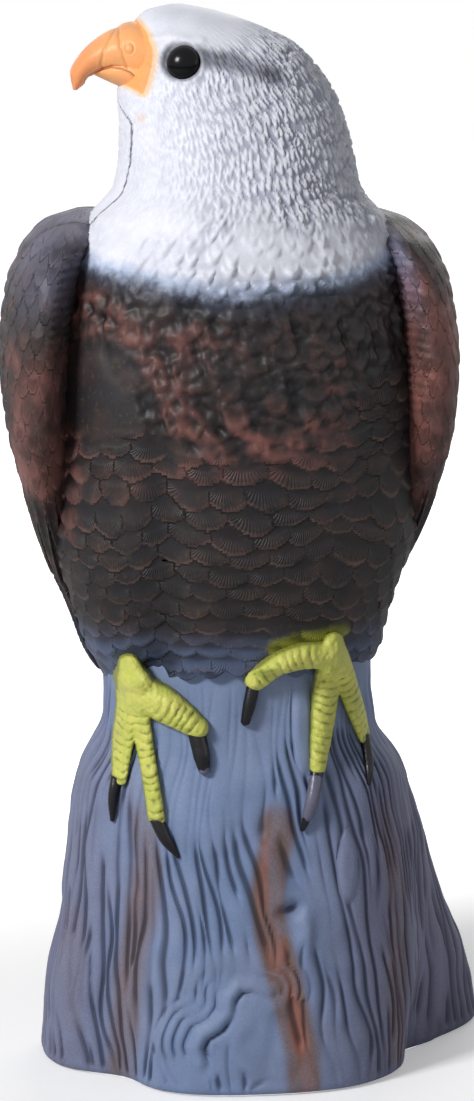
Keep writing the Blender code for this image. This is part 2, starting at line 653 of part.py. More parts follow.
def principled(name, colour, roughness):
    """Plain painted or moulded plastic."""
    material = bpy.data.materials.new(name)
    material.use_nodes = True
    shader = material.node_tree.nodes["Principled BSDF"]
    shader.inputs["Base Color"].default_value = (*colour, 1.0)
    shader.inputs["Roughness"].default_value = roughness
    shader.inputs["Metallic"].default_value = 0.0
    return material


def finish(thing, material):
    """Give a piece its material and smooth shading with its own sharp edges kept."""
    thing.data.materials.clear()
    thing.data.materials.append(material)
    thing.data.shade_smooth()
    thing.data.set_sharp_from_angle(angle=math.radians(38))


def plug_levels():
    """Heights of the recess roof and of the plug's parts above the ground."""
    flange_low = PLUG_GROUND_CLEARANCE
    flange_top = flange_low + PLUG_FLANGE_THICKNESS
    roof = flange_top + FIT_GAP
    return flange_low, flange_top, roof


def make_shells():
    """Front and rear halves with the eye seats and the ballast hole."""
    figure = make_figure()
    core = make_core()
    flange_low, flange_top, roof = plug_levels()
    plug_frame = Matrix.Translation((0, PLUG_Y, 0))
    recess_radius = PLUG_FLANGE_DIAMETER / 2 + FIT_GAP
    rim = disc("rim", recess_radius + PLUG_RIM_WALL, -5 * MM, roof + WALL, plug_frame)
    bosses = []
    for side in (-1, 1):
        boss_radius = WASHER_DIAMETER / 2 + FIT_GAP
        bosses.append(disc("boss", boss_radius, -EYE_BOSS_DEPTH, 5 * MM, eye_frame(side)))
    combine(core, [rim] + bosses, "DIFFERENCE")
    openings = [disc("recess", recess_radius, -5 * MM, roof, plug_frame)]
    openings.append(disc("hole", PLUG_STEM_DIAMETER / 2 + FIT_GAP, -6 * MM, roof + 2 * WALL, plug_frame))
    for side in (-1, 1):
        openings.append(disc("socket", EYE_DIAMETER / 2 + FIT_GAP, -EYE_SOCKET_DEPTH, 9 * MM, eye_frame(side)))
        shank_radius = EYE_SHANK_DIAMETER / 2 + FIT_GAP
        openings.append(disc("shank_hole", shank_radius, -2 * EYE_BOSS_DEPTH, 8 * MM, eye_frame(side), 16))
    combine(core, openings, "UNION")
    front = copy_of(figure, "front_shell")
    combine(front, [front_space(SEAM_GAP / 2)], "INTERSECT")
    combine(front, [copy_of(core, "front_cavity")], "DIFFERENCE")
    rear = figure
    rear.name = "rear_shell"
    combine(rear, [front_space(-SEAM_GAP / 2)], "DIFFERENCE")
    combine(rear, [core], "DIFFERENCE")
    return front, rear


def make_eye(name, side):
    """Glossy dome on a shank, its flat back seated in the socket."""
    back = -EYE_SOCKET_DEPTH + FIT_GAP
    shank = EYE_SHANK_DIAMETER / 2
    end = -(EYE_BOSS_DEPTH + FIT_GAP + WASHER_THICKNESS + SHANK_END)
    shape = [(shank * 0.7, end), (shank, end + 0.5 * MM), (shank, back), (EYE_DIAMETER / 2, back)]
    for share in (0.0, 0.25, 0.5, 0.7, 0.85, 0.95):
        radius = EYE_DIAMETER / 2 * math.cos(share * math.pi / 2)
        shape.append((radius, EYE_BULGE * math.sin(share * math.pi / 2)))
    eye = disc(name, 0, 0, 0, eye_frame(side), shape=shape)
    eye.name = name
    return eye


def make_washer(name, side):
    """Push-on washer against the flat seat inside the head."""
    top = -EYE_BOSS_DEPTH - FIT_GAP
    low = top - WASHER_THICKNESS
    washer = disc(name, WASHER_DIAMETER / 2, low, top, eye_frame(side))
    bore = disc("bore", EYE_SHANK_DIAMETER / 2 + FIT_GAP, low - 1 * MM, top + 1 * MM, eye_frame(side), 16)
    return combine(washer, [bore], "DIFFERENCE")


def make_plug():
    """Hollow push-in plug with a flange, recessed clear of the ground."""
    flange_low, flange_top, roof = plug_levels()
    top = flange_top + PLUG_STEM_LENGTH
    frame = Matrix.Translation((0, PLUG_Y, 0))
    stem = PLUG_STEM_DIAMETER / 2
    shape = [(PLUG_FLANGE_DIAMETER / 2, flange_low), (PLUG_FLANGE_DIAMETER / 2, flange_top),
             (stem, flange_top), (stem, top - 2 * MM), (stem - 1.2 * MM, top)]
    plug = disc("fill_plug", 0, 0, 0, frame, shape=shape)
    well = disc("well", stem - PLUG_WALL, flange_low - 1 * MM, top - PLUG_WALL, frame)
    return combine(plug, [well], "DIFFERENCE")


def main():
    clear_scene()
    shell_plastic = principled("shell_plastic", (0.16, 0.20, 0.31), 0.55)
    eye_plastic = principled("eye_plastic", (0.004, 0.004, 0.005), 0.06)
    washer_plastic = principled("washer_plastic", (0.75, 0.75, 0.72), 0.45)
    plug_plastic = principled("plug_plastic", (0.015, 0.015, 0.016), 0.5)
    for shell in make_shells():
        finish(shell, shell_plastic)
    finish(make_eye("left_eye", -1), eye_plastic)
    finish(make_eye("right_eye", 1), eye_plastic)
    finish(make_washer("left_eye_washer", -1), washer_plastic)
    finish(make_washer("right_eye_washer", 1), washer_plastic)
    finish(make_plug(), plug_plastic)


main()
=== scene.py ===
"""Looks of the eagle decoy: moulded feather and bark relief, sprayed paint, eyes and ballast plug.

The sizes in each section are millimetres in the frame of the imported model; a mesh is scaled to
metres as it is made. Angles run round a form from +X over +Y, as seen from above.
"""

import math
from functools import partialmethod

import bpy
import numpy as np
from mathutils import Matrix, Vector


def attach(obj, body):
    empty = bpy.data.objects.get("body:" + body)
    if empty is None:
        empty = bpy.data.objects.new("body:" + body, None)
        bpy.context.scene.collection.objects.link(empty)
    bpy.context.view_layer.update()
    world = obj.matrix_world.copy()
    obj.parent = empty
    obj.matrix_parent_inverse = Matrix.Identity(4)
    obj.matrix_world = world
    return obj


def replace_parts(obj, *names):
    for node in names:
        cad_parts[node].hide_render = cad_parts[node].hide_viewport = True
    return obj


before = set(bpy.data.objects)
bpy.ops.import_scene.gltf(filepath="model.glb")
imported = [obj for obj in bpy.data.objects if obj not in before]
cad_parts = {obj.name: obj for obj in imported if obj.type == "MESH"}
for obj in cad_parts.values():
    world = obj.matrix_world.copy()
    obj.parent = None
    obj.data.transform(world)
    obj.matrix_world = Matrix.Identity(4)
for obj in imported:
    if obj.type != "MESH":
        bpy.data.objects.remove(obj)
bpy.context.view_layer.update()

# ---- Tree stump --------------------------------------------------------------------------------
# Lower part of the hollow moulding, a stump in slate-blue plastic. Its bark is cut into the mould
# as long sinuous grooves, with a knot, a curled root ridge and three bare facets in front, and thin
# brown streaks are sprayed down it afterwards.

MM = 0.001
STUMP_TOP, WAIST = 168, 134
STUMP = np.array([    # height, left, right, front, back
    (0, -77, 89, -61, 52),
    (30, -75, 87, -60, 51),
    (62, -68, 79, -58, 50),
    (90, -65, 72, -56, 49),
    (112, -61.5, 65, -54, 48),
    (WAIST, -52, 52, -49, 46),
    (STUMP_TOP, -51, 50, -45, 43),
])
STUMP_SQUARENESS = 2.35
BASE_EDGE_RADIUS = 3.5
ROOT_LOBES = [    # direction in degrees, share by which it swells and width in degrees
    (33, 0.28, 25), (344, -0.28, 23), (311, -0.11, 23), (219, -0.195, 22), (75, -0.09, 15),
    (132, -0.10, 15),
]
STUMP_COLUMNS = 640
FRONT_CROWDING = 0.35           # share by which the grid is finer in front and coarser behind
BEHIND = 400                    # added to x behind, where no feature of the front may reach
GROOVES_ROUND = 104
GROOVE_DEPTH = 1.35
GROOVE_FADE = 24                # height over which a groove comes and goes
KNOT = (14.2, 70.5)             # x and height
ROOT_FOLD = [
    (6, 40.5), (0, 42.6), (-5.5, 42.6), (-9, 38.5), (-9.4, 32.5), (-13.5, 27.6), (-19, 24), (-21.2, 19),
    (-19.3, 13.5),
]
FOLD_PITCH = 3.7                # spacing of the grooves that follow the fold
SMOOTH_FACETS = [(35.9, 84.9, 3.2, 11), (19.5, 139, 3.2, 17), (-1, 24, 7, 13)]    # x, height and half sizes
BROWN_STREAKS = [    # middle line in x and height, half width and strength
    ([(9.2, 106), (9.5, 98), (7, 86), (5.4, 77), (6.5, 63), (10.5, 48), (14.5, 32), (18, 17), (19, 0)],
     7.5, 1.15),
    ([(-42, 120), (-40, 105), (-38, 87), (-42, 62), (-46, 38), (-48, 0)], 7, 0.65),
    ([(50, 106), (53, 95), (57, 70), (56, 30), (58, 8)], 6, 0.5),
    ([(-64, 60), (-67, 20)], 6, 0.35),
]


def smooth_curve(knots, values, at):
    """Values of a curve through the knots that never overshoots them."""
    steps = np.diff(values) / np.diff(knots)
    product = steps[:-1] * steps[1:]
    total = np.where(product > 0, steps[:-1] + steps[1:], 1)
    slopes = np.concatenate([steps[:1], np.where(product > 0, 2 * product / total, 0), steps[-1:]])
    at = np.clip(at, knots[0], knots[-1])
    i = np.clip(np.searchsorted(knots, at, side="right") - 1, 0, len(knots) - 2)
    span = knots[i + 1] - knots[i]
    t = (at - knots[i]) / span
    return ((1 + 2 * t) * (1 - t) ** 2 * values[i] + t * (1 - t) ** 2 * span * slopes[i]
            + t * t * (3 - 2 * t) * values[i + 1] - t * t * (1 - t) * span * slopes[i + 1])


def joined(*parts):
    """Points, or other rows of values, from their parts."""
    return np.stack(np.broadcast_arrays(*parts), -1)


def crossed(rows, columns):
    """Two grids, of the rows' values and of the columns'."""
    return np.meshgrid(rows, columns, indexing="ij")


def section_at(sections, height):
    """Each column of a table of sections at that height, or at any first value."""
    return [smooth_curve(sections[:, 0], column, height) for column in sections.T[1:]]


def oval(sections, height, angle, squareness):
    """Points round a form and the way out of it there."""
    left, right, front, back = section_at(sections, height)
    power = 2 / squareness
    across = (right - left) / 2 * np.sign(np.cos(angle)) * np.abs(np.cos(angle)) ** power
    along = (back - front) / 2 * np.sign(np.sin(angle)) * np.abs(np.sin(angle)) ** power
    return joined((left + right) / 2, (front + back) / 2, height), joined(across, along, 0)


def hump(x, wide, z=0, tall=1):
    """Round bump: 1 in its middle and fading over its half widths."""
    return np.exp(-(x / wide) ** 2 - (z / tall) ** 2)


def stump_skin(height, angle):
    """Plain stump: an oval with root lobes that grow towards the ground."""
    centre, radial = oval(STUMP, height, angle, STUMP_SQUARENESS)
    spread = np.maximum(0, 1 - height / WAIST) ** 1.3
    swell = 0
    for lobe, reach, width in ROOT_LOBES:
        turn = (np.degrees(angle) - lobe + 180) % 360 - 180
        swell = swell + reach * hump(turn, width)
    edge = np.maximum(0, BASE_EDGE_RADIUS - height)
    rounding = BASE_EDGE_RADIUS - np.sqrt(BASE_EDGE_RADIUS ** 2 - edge ** 2)
    outward = radial / np.linalg.norm(radial, axis=-1, keepdims=True)
    return centre + radial * (1 + swell * spread)[..., None] - outward * rounding[..., None]


def unevenness(points, size, seed):
    """Smooth random values from -1 to 1 that change over that many millimetres."""
    lattice = np.random.default_rng(seed).uniform(-1, 1, (32, 32, 32))
    place = points / size + 64
    cell = np.floor(place).astype(int)
    part = place - cell
    part = part * part * (3 - 2 * part)
    total = 0
    for corner in np.ndindex(2, 2, 2):
        weight = np.prod(np.where(corner, part, 1 - part), axis=-1)
        i, j, k = np.moveaxis((cell + corner) % 32, -1, 0)
        total = total + weight * lattice[i, j, k]
    return total


def ease(low, high, value):
    """0 below low, 1 above high, and smooth between; low may be the larger."""
    t = np.clip((value - low) / (high - low), 0, 1)
    return t * t * (3 - 2 * t)


def line_side(x, height, path):
    """Distance in the front view from a line of points, below 0 on its right going along it."""
    nearest = np.full(np.shape(x), 1e9)
    for (ax, az), (bx, bz) in zip(path, path[1:]):
        right, up = x - ax, height - az
        along = np.clip((right * (bx - ax) + up * (bz - az)) / ((bx - ax) ** 2 + (bz - az) ** 2), 0, 1)
        apart = np.hypot(right - along * (bx - ax), up - along * (bz - az))
        apart = np.where((bx - ax) * up - (bz - az) * right < 0, -apart, apart)
        nearest = np.where(np.abs(apart) < np.abs(nearest), apart, nearest)
    return nearest


def line_distance(x, height, path):
    """The same distance on either side, never below 0."""
    return np.abs(line_side(x, height, path))


def ring_grid(columns, heights, crowding=0.0):
    """Heights and angles of a skin, crowded to the front; the first column comes again at the end."""
    turn = np.linspace(0, 2 * np.pi, columns + 1)
    return crossed(heights, turn - crowding * np.cos(turn))


def raised(points, height):
    """Skin moved out along its own normals."""
    normals = np.cross(np.gradient(points, axis=1), np.gradient(points, axis=0))
    normals[:, 0] = normals[:, -1] = normals[:, 0] + normals[:, -1]
    normals /= np.maximum(np.linalg.norm(normals, axis=-1, keepdims=True), 1e-9)
    return points + normals * height[..., None]


FORMS = []


def shown(name, data):
    """Object that stands in the scene."""
    thing = bpy.data.objects.new(name, data)
    bpy.context.scene.collection.objects.link(thing)
    return thing


def skin_object(name, points, material, marks=None):
    """Closed skin over a stack of rings. Marks are values for the paint, kept at the face corners."""
    rows, wide = points.shape[:2]
    columns = wide - 1
    row, column = crossed(np.arange(rows - 1), np.arange(columns))
    after = (column + 1) % columns
    quads = joined(row * columns + column, row * columns + after,
                   (row + 1) * columns + after, (row + 1) * columns + column).reshape(-1, 4)
    corners = joined(row * wide + column, row * wide + column + 1,
                     (row + 1) * wide + column + 1, (row + 1) * wide + column).reshape(-1)
    first, last = rows * columns, rows * columns + 1
    step, turn = np.arange(columns), (np.arange(columns) + 1) % columns
    low = joined(turn, step, first)
    top = (rows - 1) * columns
    high = joined(top + step, top + turn, last)
    ends = [points[0, :-1].mean(0), points[-1, :-1].mean(0)]
    data = bpy.data.meshes.new(name)
    data.from_pydata(np.concatenate([points[:, :-1].reshape(-1, 3), ends]) * MM, [],
                     quads.tolist() + low.tolist() + high.tolist())
    low_corners = joined(step + 1, step, step).reshape(-1)
    high_corners = (rows - 1) * wide + joined(step, step + 1, step).reshape(-1)
    spots = np.concatenate([corners, low_corners, high_corners])
    for mark, values in (marks or {}).items():
        kind, field = ("FLOAT_VECTOR", "vector") if np.ndim(values) == 3 else ("FLOAT", "value")
        flat = np.reshape(values, (rows * wide, -1))[spots]
        data.attributes.new(mark, kind, "CORNER").data.foreach_set(field, flat.astype(np.float32).ravel())
    FORMS.append(name)
    data.attributes.new("form", "INT", "FACE").data.foreach_set("value", [len(FORMS)] * len(data.polygons))
    data.materials.append(material)
    return shown(name, data)


class Signal:
    """Output of a shader node that is reckoned with like a number, each time in a node of its own."""

    def __init__(self, node, output=0):
        self.tree, self.socket = node.id_data, node.outputs[output]

    def reckon(self, operation, *others):
        inputs = dict(enumerate((self, *others)))
        return Signal(wired(self.tree, "ShaderNodeMath", inputs, operation=operation))

    __add__ = partialmethod(reckon, "ADD")
    __sub__ = partialmethod(reckon, "SUBTRACT")
    __mul__ = partialmethod(reckon, "MULTIPLY")
    __truediv__ = partialmethod(reckon, "DIVIDE")


def shade(code):
    """Paint colour from its six-figure web code."""
    parts = [int(code[i:i + 2], 16) / 255 for i in (0, 2, 4)]
    return (*(part / 12.92 if part <= 0.04045 else ((part + 0.055) / 1.055) ** 2.4 for part in parts), 1.0)


def feed(socket, value):
    """Link a signal to an input, or set the input to a number or to the colour of a code."""
    if isinstance(value, Signal):
        value.tree.links.new(value.socket, socket)
    else:
        socket.default_value = shade(value) if isinstance(value, str) else value


def feed_all(sockets, values):
    """Feed each socket named in the values."""
    for key, value in values.items():
        feed(sockets[key], value)


def wired(tree, kind, inputs, **settings):
    """Node with its settings and with all that goes into it."""
    node = tree.nodes.new(kind)
    for key, value in settings.items():
        setattr(node, key, value)
    feed_all(node.inputs, inputs)
    return node


def split(vector):
    """The three numbers of a vector."""
    node = wired(vector.tree, "ShaderNodeSeparateXYZ", {0: vector})
    return [Signal(node, axis) for axis in "XYZ"]


def ramp(value, low, high):
    """Smooth change from 0 at low to 1 at high."""
    inputs = {"Value": value, "From Min": low, "From Max": high}
    node = wired(value.tree, "ShaderNodeMapRange", inputs, interpolation_type="SMOOTHSTEP")
    return Signal(node, "Result")


def tinted(share, under, over):
    """One colour over another by a share of it."""
    node = wired(share.tree, "ShaderNodeMix", {"Factor": share, 6: under, 7: over}, data_type="RGBA")
    return Signal(node, 2)


def place_in(tree):
    """Point on the piece, in metres."""
    return Signal(wired(tree, "ShaderNodeTexCoord", {}), "Object")


def noise(tree, size, detail=2, stretch=None):
    """Noise whose grain is that many millimetres."""
    place = place_in(tree)
    if stretch:
        place = Signal(wired(tree, "ShaderNodeMapping", {"Vector": place, "Scale": stretch}))
    inputs = {"Vector": place, "Scale": 1 / (size * MM), "Detail": detail}
    return Signal(wired(tree, "ShaderNodeTexNoise", inputs))


def mark(tree, name, output="Fac"):
    """Value laid down on the mesh for the paint."""
    return Signal(wired(tree, "ShaderNodeAttribute", {}, attribute_name=name), output)


SOCKETS = {1: "NodeSocketFloat", 3: "NodeSocketVector", 4: "NodeSocketColor"}    # by how much they hold


def new_group(name, inputs, outputs):
    """Empty shader group, the signals that come into it and the sockets that go out."""
    group = bpy.data.node_groups.new(name, "ShaderNodeTree")
    for key, value in inputs.items():
        socket = group.interface.new_socket(key, in_out="INPUT", socket_type=SOCKETS[np.size(value)])
        socket.default_value = value
    for key, size in outputs.items():
        group.interface.new_socket(key, in_out="OUTPUT", socket_type=SOCKETS[size])
    entry = group.nodes.new("NodeGroupInput")
    return group, [Signal(entry, key) for key in inputs], group.nodes.new("NodeGroupOutput").inputs


def placed(tree, group, **inputs):
    """Signals that come out of a shader group placed in a material."""
    node = wired(tree, "ShaderNodeGroup", inputs, node_tree=group)
    return [Signal(node, output) for output in range(len(node.outputs))]


def sprayed_paint_group():
    """Thin sprayed coat: cloudy cover, fine speckle, painted shade in the hollows and light specks on the
    high spots, partly rubbed wear and partly a painted highlight.
    """
    group, given, out = new_group(
        "sprayed_paint",
        {"Colour": (0.5, 0.5, 0.5, 1), "Hollow": (0.1, 0.1, 0.1, 1), "Rubbed": (0.8, 0.8, 0.8, 1),
         "Relief": 0.5, "Depth": 0.5, "Wear": 0.3, "Sheen": 0.45},
        {"Colour": 4, "Roughness": 1, "Height": 1})
    cover, hollow, rubbed, relief, depth, wear, sheen = given
    cloud, speckle = noise(group, 11, 3), noise(group, 0.7)
    # Painted shade: the hollow colour comes in where the relief mark is low, as strongly as Depth says.
    colour = tinted(ramp(relief, 0.5, 0.0) * depth, cover, hollow)
    # Light specks where the relief mark is high: rubbed wear, partly a painted highlight.
    colour = tinted(ramp(relief + speckle * 0.5, 1.0, 1.35) * wear, colour, rubbed)
    light = (cloud * 0.34 + 0.83) * (speckle * 0.14 + 0.93)
    lit = wired(group, "ShaderNodeVectorMath", {0: colour, "Scale": light}, operation="SCALE")
    feed(out["Colour"], Signal(lit))
    feed(out["Roughness"], sheen + (cloud - 0.5) * 0.25)
    feed(out["Height"], speckle)
    return group


def new_material(name):
    """Material, its tree and the inputs of its shader."""
    material = bpy.data.materials.new(name)
    material.use_nodes = True
    return material, material.node_tree, material.node_tree.nodes["Principled BSDF"].inputs


def painted(name, build, gloss=0.3):
    """Material whose colour, roughness, relief and the relief's depth come from build(tree)."""
    material, tree, inputs = new_material(name)
    colour, roughness, height, distance = build(tree)
    bump = wired(tree, "ShaderNodeBump", {"Height": height, "Strength": 1.0, "Distance": distance * MM})
    feed_all(inputs, {"Specular IOR Level": gloss, "Base Color": colour, "Roughness": roughness,
                      "Normal": Signal(bump)})
    return material


SPRAYED = sprayed_paint_group()


def bark_finish(tree):
    """Slate blue with cloudy brown streaks, dark in the grooves as painted shade, and a mauve-grey painted
    shade over the left side and low down on the right.
    """
    groove, sprayed = mark(tree, "groove"), mark(tree, "streak")
    cloud = noise(tree, 10, 3, (1, 1, 0.35)) - 0.5
    streak = ramp(sprayed + cloud * 0.45, 0.1, 0.95)
    blue = tinted(ramp(noise(tree, 30), 0.35, 0.7), "7184a8", "7b88a8")
    # Mauve-grey painted shade on the stump's sides.
    blue = tinted(mark(tree, "side_shade"), blue, "67667d")
    brown = tinted(ramp(sprayed + cloud * 2.4, 0.95, 1.8), "6d5750", "985a42")
    # The hollow colours are painted shade in the grooves; the rubbed colour lightens the uncut bark in
    # specks, wear and partly a painted highlight.
    colour, roughness, speckle = placed(
        tree, SPRAYED, Colour=tinted(streak * 0.93, blue, brown), Hollow=tinted(streak, "2a3246", "33282a"),
        Rubbed="93a1bd", Relief=groove, Depth=0.85, Wear=0.25, Sheen=0.55)
    return colour, roughness, speckle * 0.08 + ramp(groove, 0.1, 0.75), 0.5


def chances(seed, row, column):
    """Random value of a groove that changes smoothly with height, from 0 to 1."""
    table = np.random.default_rng(seed).uniform(0, 1, (16, GROOVES_ROUND))
    row = row + 0.37 * column
    low = np.floor(row).astype(int)
    part = row - low
    part = part * part * (3 - 2 * part)
    return table[low % 16, column] * (1 - part) + table[(low + 1) % 16, column] * part


def bark_cuts(points, height, angle, pushed):
    """How deep the bark is cut at each point, from 0 to 1: long grooves that wander, meet and fade."""
    sway = 1.9 * unevenness(points * (1, 1, 0.6), 30, 3) + 0.45 * unevenness(points * (1, 1, 0.55), 12, 4)
    place = angle / (2 * np.pi) * GROOVES_ROUND + sway + pushed
    deepest = 0
    for step in (-1, 0, 1):
        whole = np.floor(place).astype(int) + step
        column = whole % GROOVES_ROUND
        strength = ease(0.14, 0.5, chances(5, height / GROOVE_FADE, column))
        width = 0.17 + 0.13 * chances(6, height / 30, column)
        middle = 0.5 + 0.95 * (chances(7, height / 21, column) - 0.5)
        apart = np.abs(place - whole - middle) / width
        cut = 0.8 * np.exp(-apart ** 1.6) + 0.2 * hump(apart, 2.6)
        deepest = np.maximum(deepest, strength * cut)
    return deepest


def make_stump():
    """Bark over the plain stump: grooves, root fold, facets and knot, then the marks of the paint."""
    heights = np.concatenate([[0, 0.5, 1.4, 2.4], np.linspace(BASE_EDGE_RADIUS, STUMP_TOP, 128)])
    height, angle = ring_grid(STUMP_COLUMNS, heights, FRONT_CROWDING)
    points = stump_skin(height, angle)
    x = points[..., 0] + BEHIND * (points[..., 1] > 0)
    right, up = x - KNOT[0], height - KNOT[1]
    knot = np.hypot(right, up)
    pushed = -0.85 * np.tanh(right / 2.5) * hump(knot, 10)
    for facet_x, facet_z, wide, tall in SMOOTH_FACETS:
        near = np.hypot((x - facet_x) / (wide + 6), (height - facet_z) / (tall + 8))
        pushed = pushed - 0.5 * np.tanh((x - facet_x) / 3) * hump(near, 1)
    cut = bark_cuts(points, height, angle, pushed)
    cut = cut * (1 - 0.8 * ease(0.05, 0.4, unevenness(points * (1, 1, 0.6), 22, 20)))
    lift = 0.9 * unevenness(points, 17, 8) * ease(0, 25, height) + 0.3 * unevenness(points, 6, 9)
    side = -line_side(x, height, ROOT_FOLD)
    near_fold = ease(20, 11, np.abs(side)) * (side > 0) * ease(52, 43, height - 0.2 * x)
    apart = (side / FOLD_PITCH + 0.25 + 0.25 * unevenness(points, 9, 10)) % 1 - 0.5
    flow = near_fold * np.exp(-apart ** 2 / 0.035) * 0.75
    cut = cut * (1 - near_fold) + flow * ease(2.4, 4, side) * ease(-0.5, 0.1, unevenness(points, 11, 16))
    cut = cut * ease(2.2, 4.5, np.abs(side)) * (1 - 0.9 * ease(-9, -6.5, side) * (side < 0))
    cut = cut * (1 - 0.85 * hump(x + 9, 13, height - 51, 6))
    under = ease(-0.7, -0.1, unevenness(points, 16, 17)) * ease(3, -2, x) * ease(12, 17, height)
    cut = np.maximum(cut, under * hump(side + 2.9, 1))
    lift = lift + 1.7 * hump(side, 2.3) + 0.5 * ease(-2.5, -5, side) * ease(-13, -8, side)
    facets = 0
    for facet_x, facet_z, wide, tall in SMOOTH_FACETS:
        near = np.hypot((x - facet_x) / wide, (height - facet_z) / tall)
        cut = cut * ease(0.95, 1.35, near)
        rim = hump(near - 1.3, 0.14) * ease(-0.9, 0.2, (height - facet_z) / tall)
        cut = np.maximum(cut, 0.6 * rim * ease(40, 60, facet_z))
        facets = np.maximum(facets, 0.9 * ease(1.35, 0.5, near))
    pit = hump(right + 0.3 * up, 5.2, up - 0.3 * right, 2.7)
    cut = np.maximum(cut * ease(2.5, 5, knot), pit)
    cut = np.maximum(cut * (1 - hump(right - 6, 3, up + 8, 8)), 0)
    lift = lift + 2.2 * hump(right - 5.5, 3.4, up + 7, 9) - 2.2 * pit
    lift = lift + 1.1 * hump(right + 3, 3.2, up - 5, 6)
    fade = ease(0, 5, height) * ease(157, 144, height)
    relief = (lift - GROOVE_DEPTH * cut) * fade + facets * ease(0, 5, height) * ease(164, 156, height)
    streak = 0
    for path, wide, strength in BROWN_STREAKS:
        near = ease(1.35 * wide, 0.3 * wide, line_distance(x, height, path))
        streak = np.maximum(streak, strength * near)
    streak = streak * (0.25 + 0.75 * ease(118, 97, height))
    # Painted shade: the left side and the right side low down are darkened where they turn from the light,
    # and the grooves by their depth.
    shaded = np.maximum(ease(5, 60, x) * ease(165, 100, height), 0.8 * ease(-35, -68, x))
    marks = {"groove": 1 - cut * fade, "streak": streak, "side_shade": shaded}
    return skin_object("stump", raised(points, relief), painted("bark_paint", bark_finish), marks)


stump = make_stump()

# ---- Body, neck and head ----------------------------------------------------------------------
# Upper part of the same moulding. Rows of feathers overlap like shingles: broad scallops on the
# belly, ragged tufts on the breast, small bumps on the collar and raised locks that sweep back
# from the beak. White is sprayed over the head and fades through blue into the dark breast.

HEM = 147
COLLAR = 322
EYE_Z = 379
CROWN = 400
HEM_RISE = 13
BIRD = np.array([    # height, left, right, front, back
    (HEM, -53.5, 51.5, -50, 49),
    (178, -62, 58.5, -56, 53),
    (210, -71.5, 68, -61, 53),
    (255, -73, 69, -63, 52),
    (298, -67, 63, -60, 49),
    (COLLAR, -56, 54, -55, 44),
    (334, -46.5, 44.5, -50, 37),
    (345, -44.4, 42, -46, 32),
    (357, -44, 39, -42, 27),
    (368, -44.8, 34.5, -38.5, 22.5),
    (378, -41, 27.5, -35.5, 19.5),
    (386, -41, 19, -31.5, 15.5),
    (393, -38.6, 4.5, -25, 9),
    (397.5, -34, -9, -17.5, 1.5),
    (CROWN, -24, -22, -9, -7),
])
BIRD_SQUARENESS = 2.1
BIRD_COLUMNS = 416
BELLY_ROUND, TUFTS_ROUND, BUMPS_ROUND = 32, 50, 54    # feathers side by side in one row
BELLY_ROW, TUFT_ROW = 7.4, 5.6  # height of a row
ROWS_FROM = 700                 # height from which the rows of feathers are counted down
HEAD_Y = -8
EYE_X = -22.8
PARTING = np.array([    # height, and y of the parting line on the right and on the left
    (-50, 8, 8), (130, 8, 8), (168, 8, 5), (290, 0, -8), (318, -4, -16), (332, -6, -23), (356, HEAD_Y, -22),
    (367, HEAD_Y, HEAD_Y), (450, HEAD_Y, HEAD_Y),
])
STEP_START, STEP_END = -18, -34    # x between which the line comes forward
SEAM_TOP = 368                  # above it the line runs over the middle of the crown
WHITE_EDGE = np.array([    # x, and height of the edge of the white there
    (-60, 311), (-54, 309), (-30, 303.5), (-8.6, 300.4), (15, 302), (36, 305), (56, 313),
])
BREAST_EDGE = np.array([    # x, and height of the breast's lower edge there
    (-66, 290), (-56, 281), (-46, 263), (-33, 252), (-18, 246), (11, 245), (29, 250), (38, 262), (50, 276),
])
RUST_ARC = [(-56, 289), (-43, 277), (-33, 263), (-24, 251), (-10, 245), (10, 243), (30, 246), (36, 264)]
BROW = [(-34, 386.5), (-27, 388), (-16, 386.5)]
EYE_STRIPE = [(-17, 380.6), (-6, 379.3), (3.5, 376.6), (15, 373.8)]
FOOT_OVERSPRAY = [(9, 168), (20, 171), (33, 173)]
CHIN_X, CHIN_Z = -36.6, 367.5    # where the orange paint ends under the beak
BEAK_REAR = np.array([    # height, and x of the rear edge of the beak there
    (366, -37.5), (374, -34.5), (381.5, -33.1), (388, -34.4), (395, -38.6),
])


def overlap(across, along, count, seed, width, length, tip, uneven):
    """Feathers laid like shingles, counted across and along the skin; upper rows cover lower ones.

    Gives for each point how far it lies down its feather's bare part (0 to 1, its edge), its
    place across (-1 to 1) and a random number of that feather's own.
    """
    dice = np.random.default_rng(seed).uniform(-1, 1, (64, count, 5))
    rise, side, luck = (np.zeros(across.shape) for _ in range(3))
    bare = np.ones(across.shape, bool)
    for row_step in range(math.ceil(1.3 * length) + 1, -1, -1):
        row = np.floor(along).astype(int) - row_step
        shifted = across - 0.5 * (row % 2)
        nearest = np.ones(across.shape)
        for column_step in (-1, 0, 1):
            column = np.floor(shifted).astype(int) + column_step
            throw = uneven * np.moveaxis(dice[row % 64, column % count], -1, 0)
            place = (shifted - column - 0.5 - 0.25 * throw[0]) * 2 / (width * (1 + 0.25 * throw[1]))
            reach = length * (1 + 0.2 * throw[2]) * (1 - tip * place ** 2)
            down = (along - row - 0.3 * throw[3]) / np.maximum(reach, 0.05)
            wins = bare & (np.abs(place) < nearest) & (down > 0) & (down < 1)
            nearest = np.where(wins, np.abs(place), nearest)
            rise, side = np.where(wins, down, rise), np.where(wins, place, side)
            luck = np.where(wins, dice[row % 64, column % count, 4], luck)
        bare = bare & (nearest == 1)
    hidden = max(0.0, 1 - 1 / length)
    return np.clip((rise - hidden) / (1 - hidden), 0, 1), side, luck


def lip(rise, slope=1.3, edge=0.8):
    """Height of a feather that thickens towards its edge and rounds over there."""
    return rise ** slope * ease(1.0, edge, rise)


def parting_y(x, height):
    """Where the two halves of the moulding meet; it comes forward on the left of the throat and wing."""
    right, left = section_at(PARTING, height)
    return right + (left - right) * np.clip((STEP_START - x) / (STEP_START - STEP_END), 0, 1)


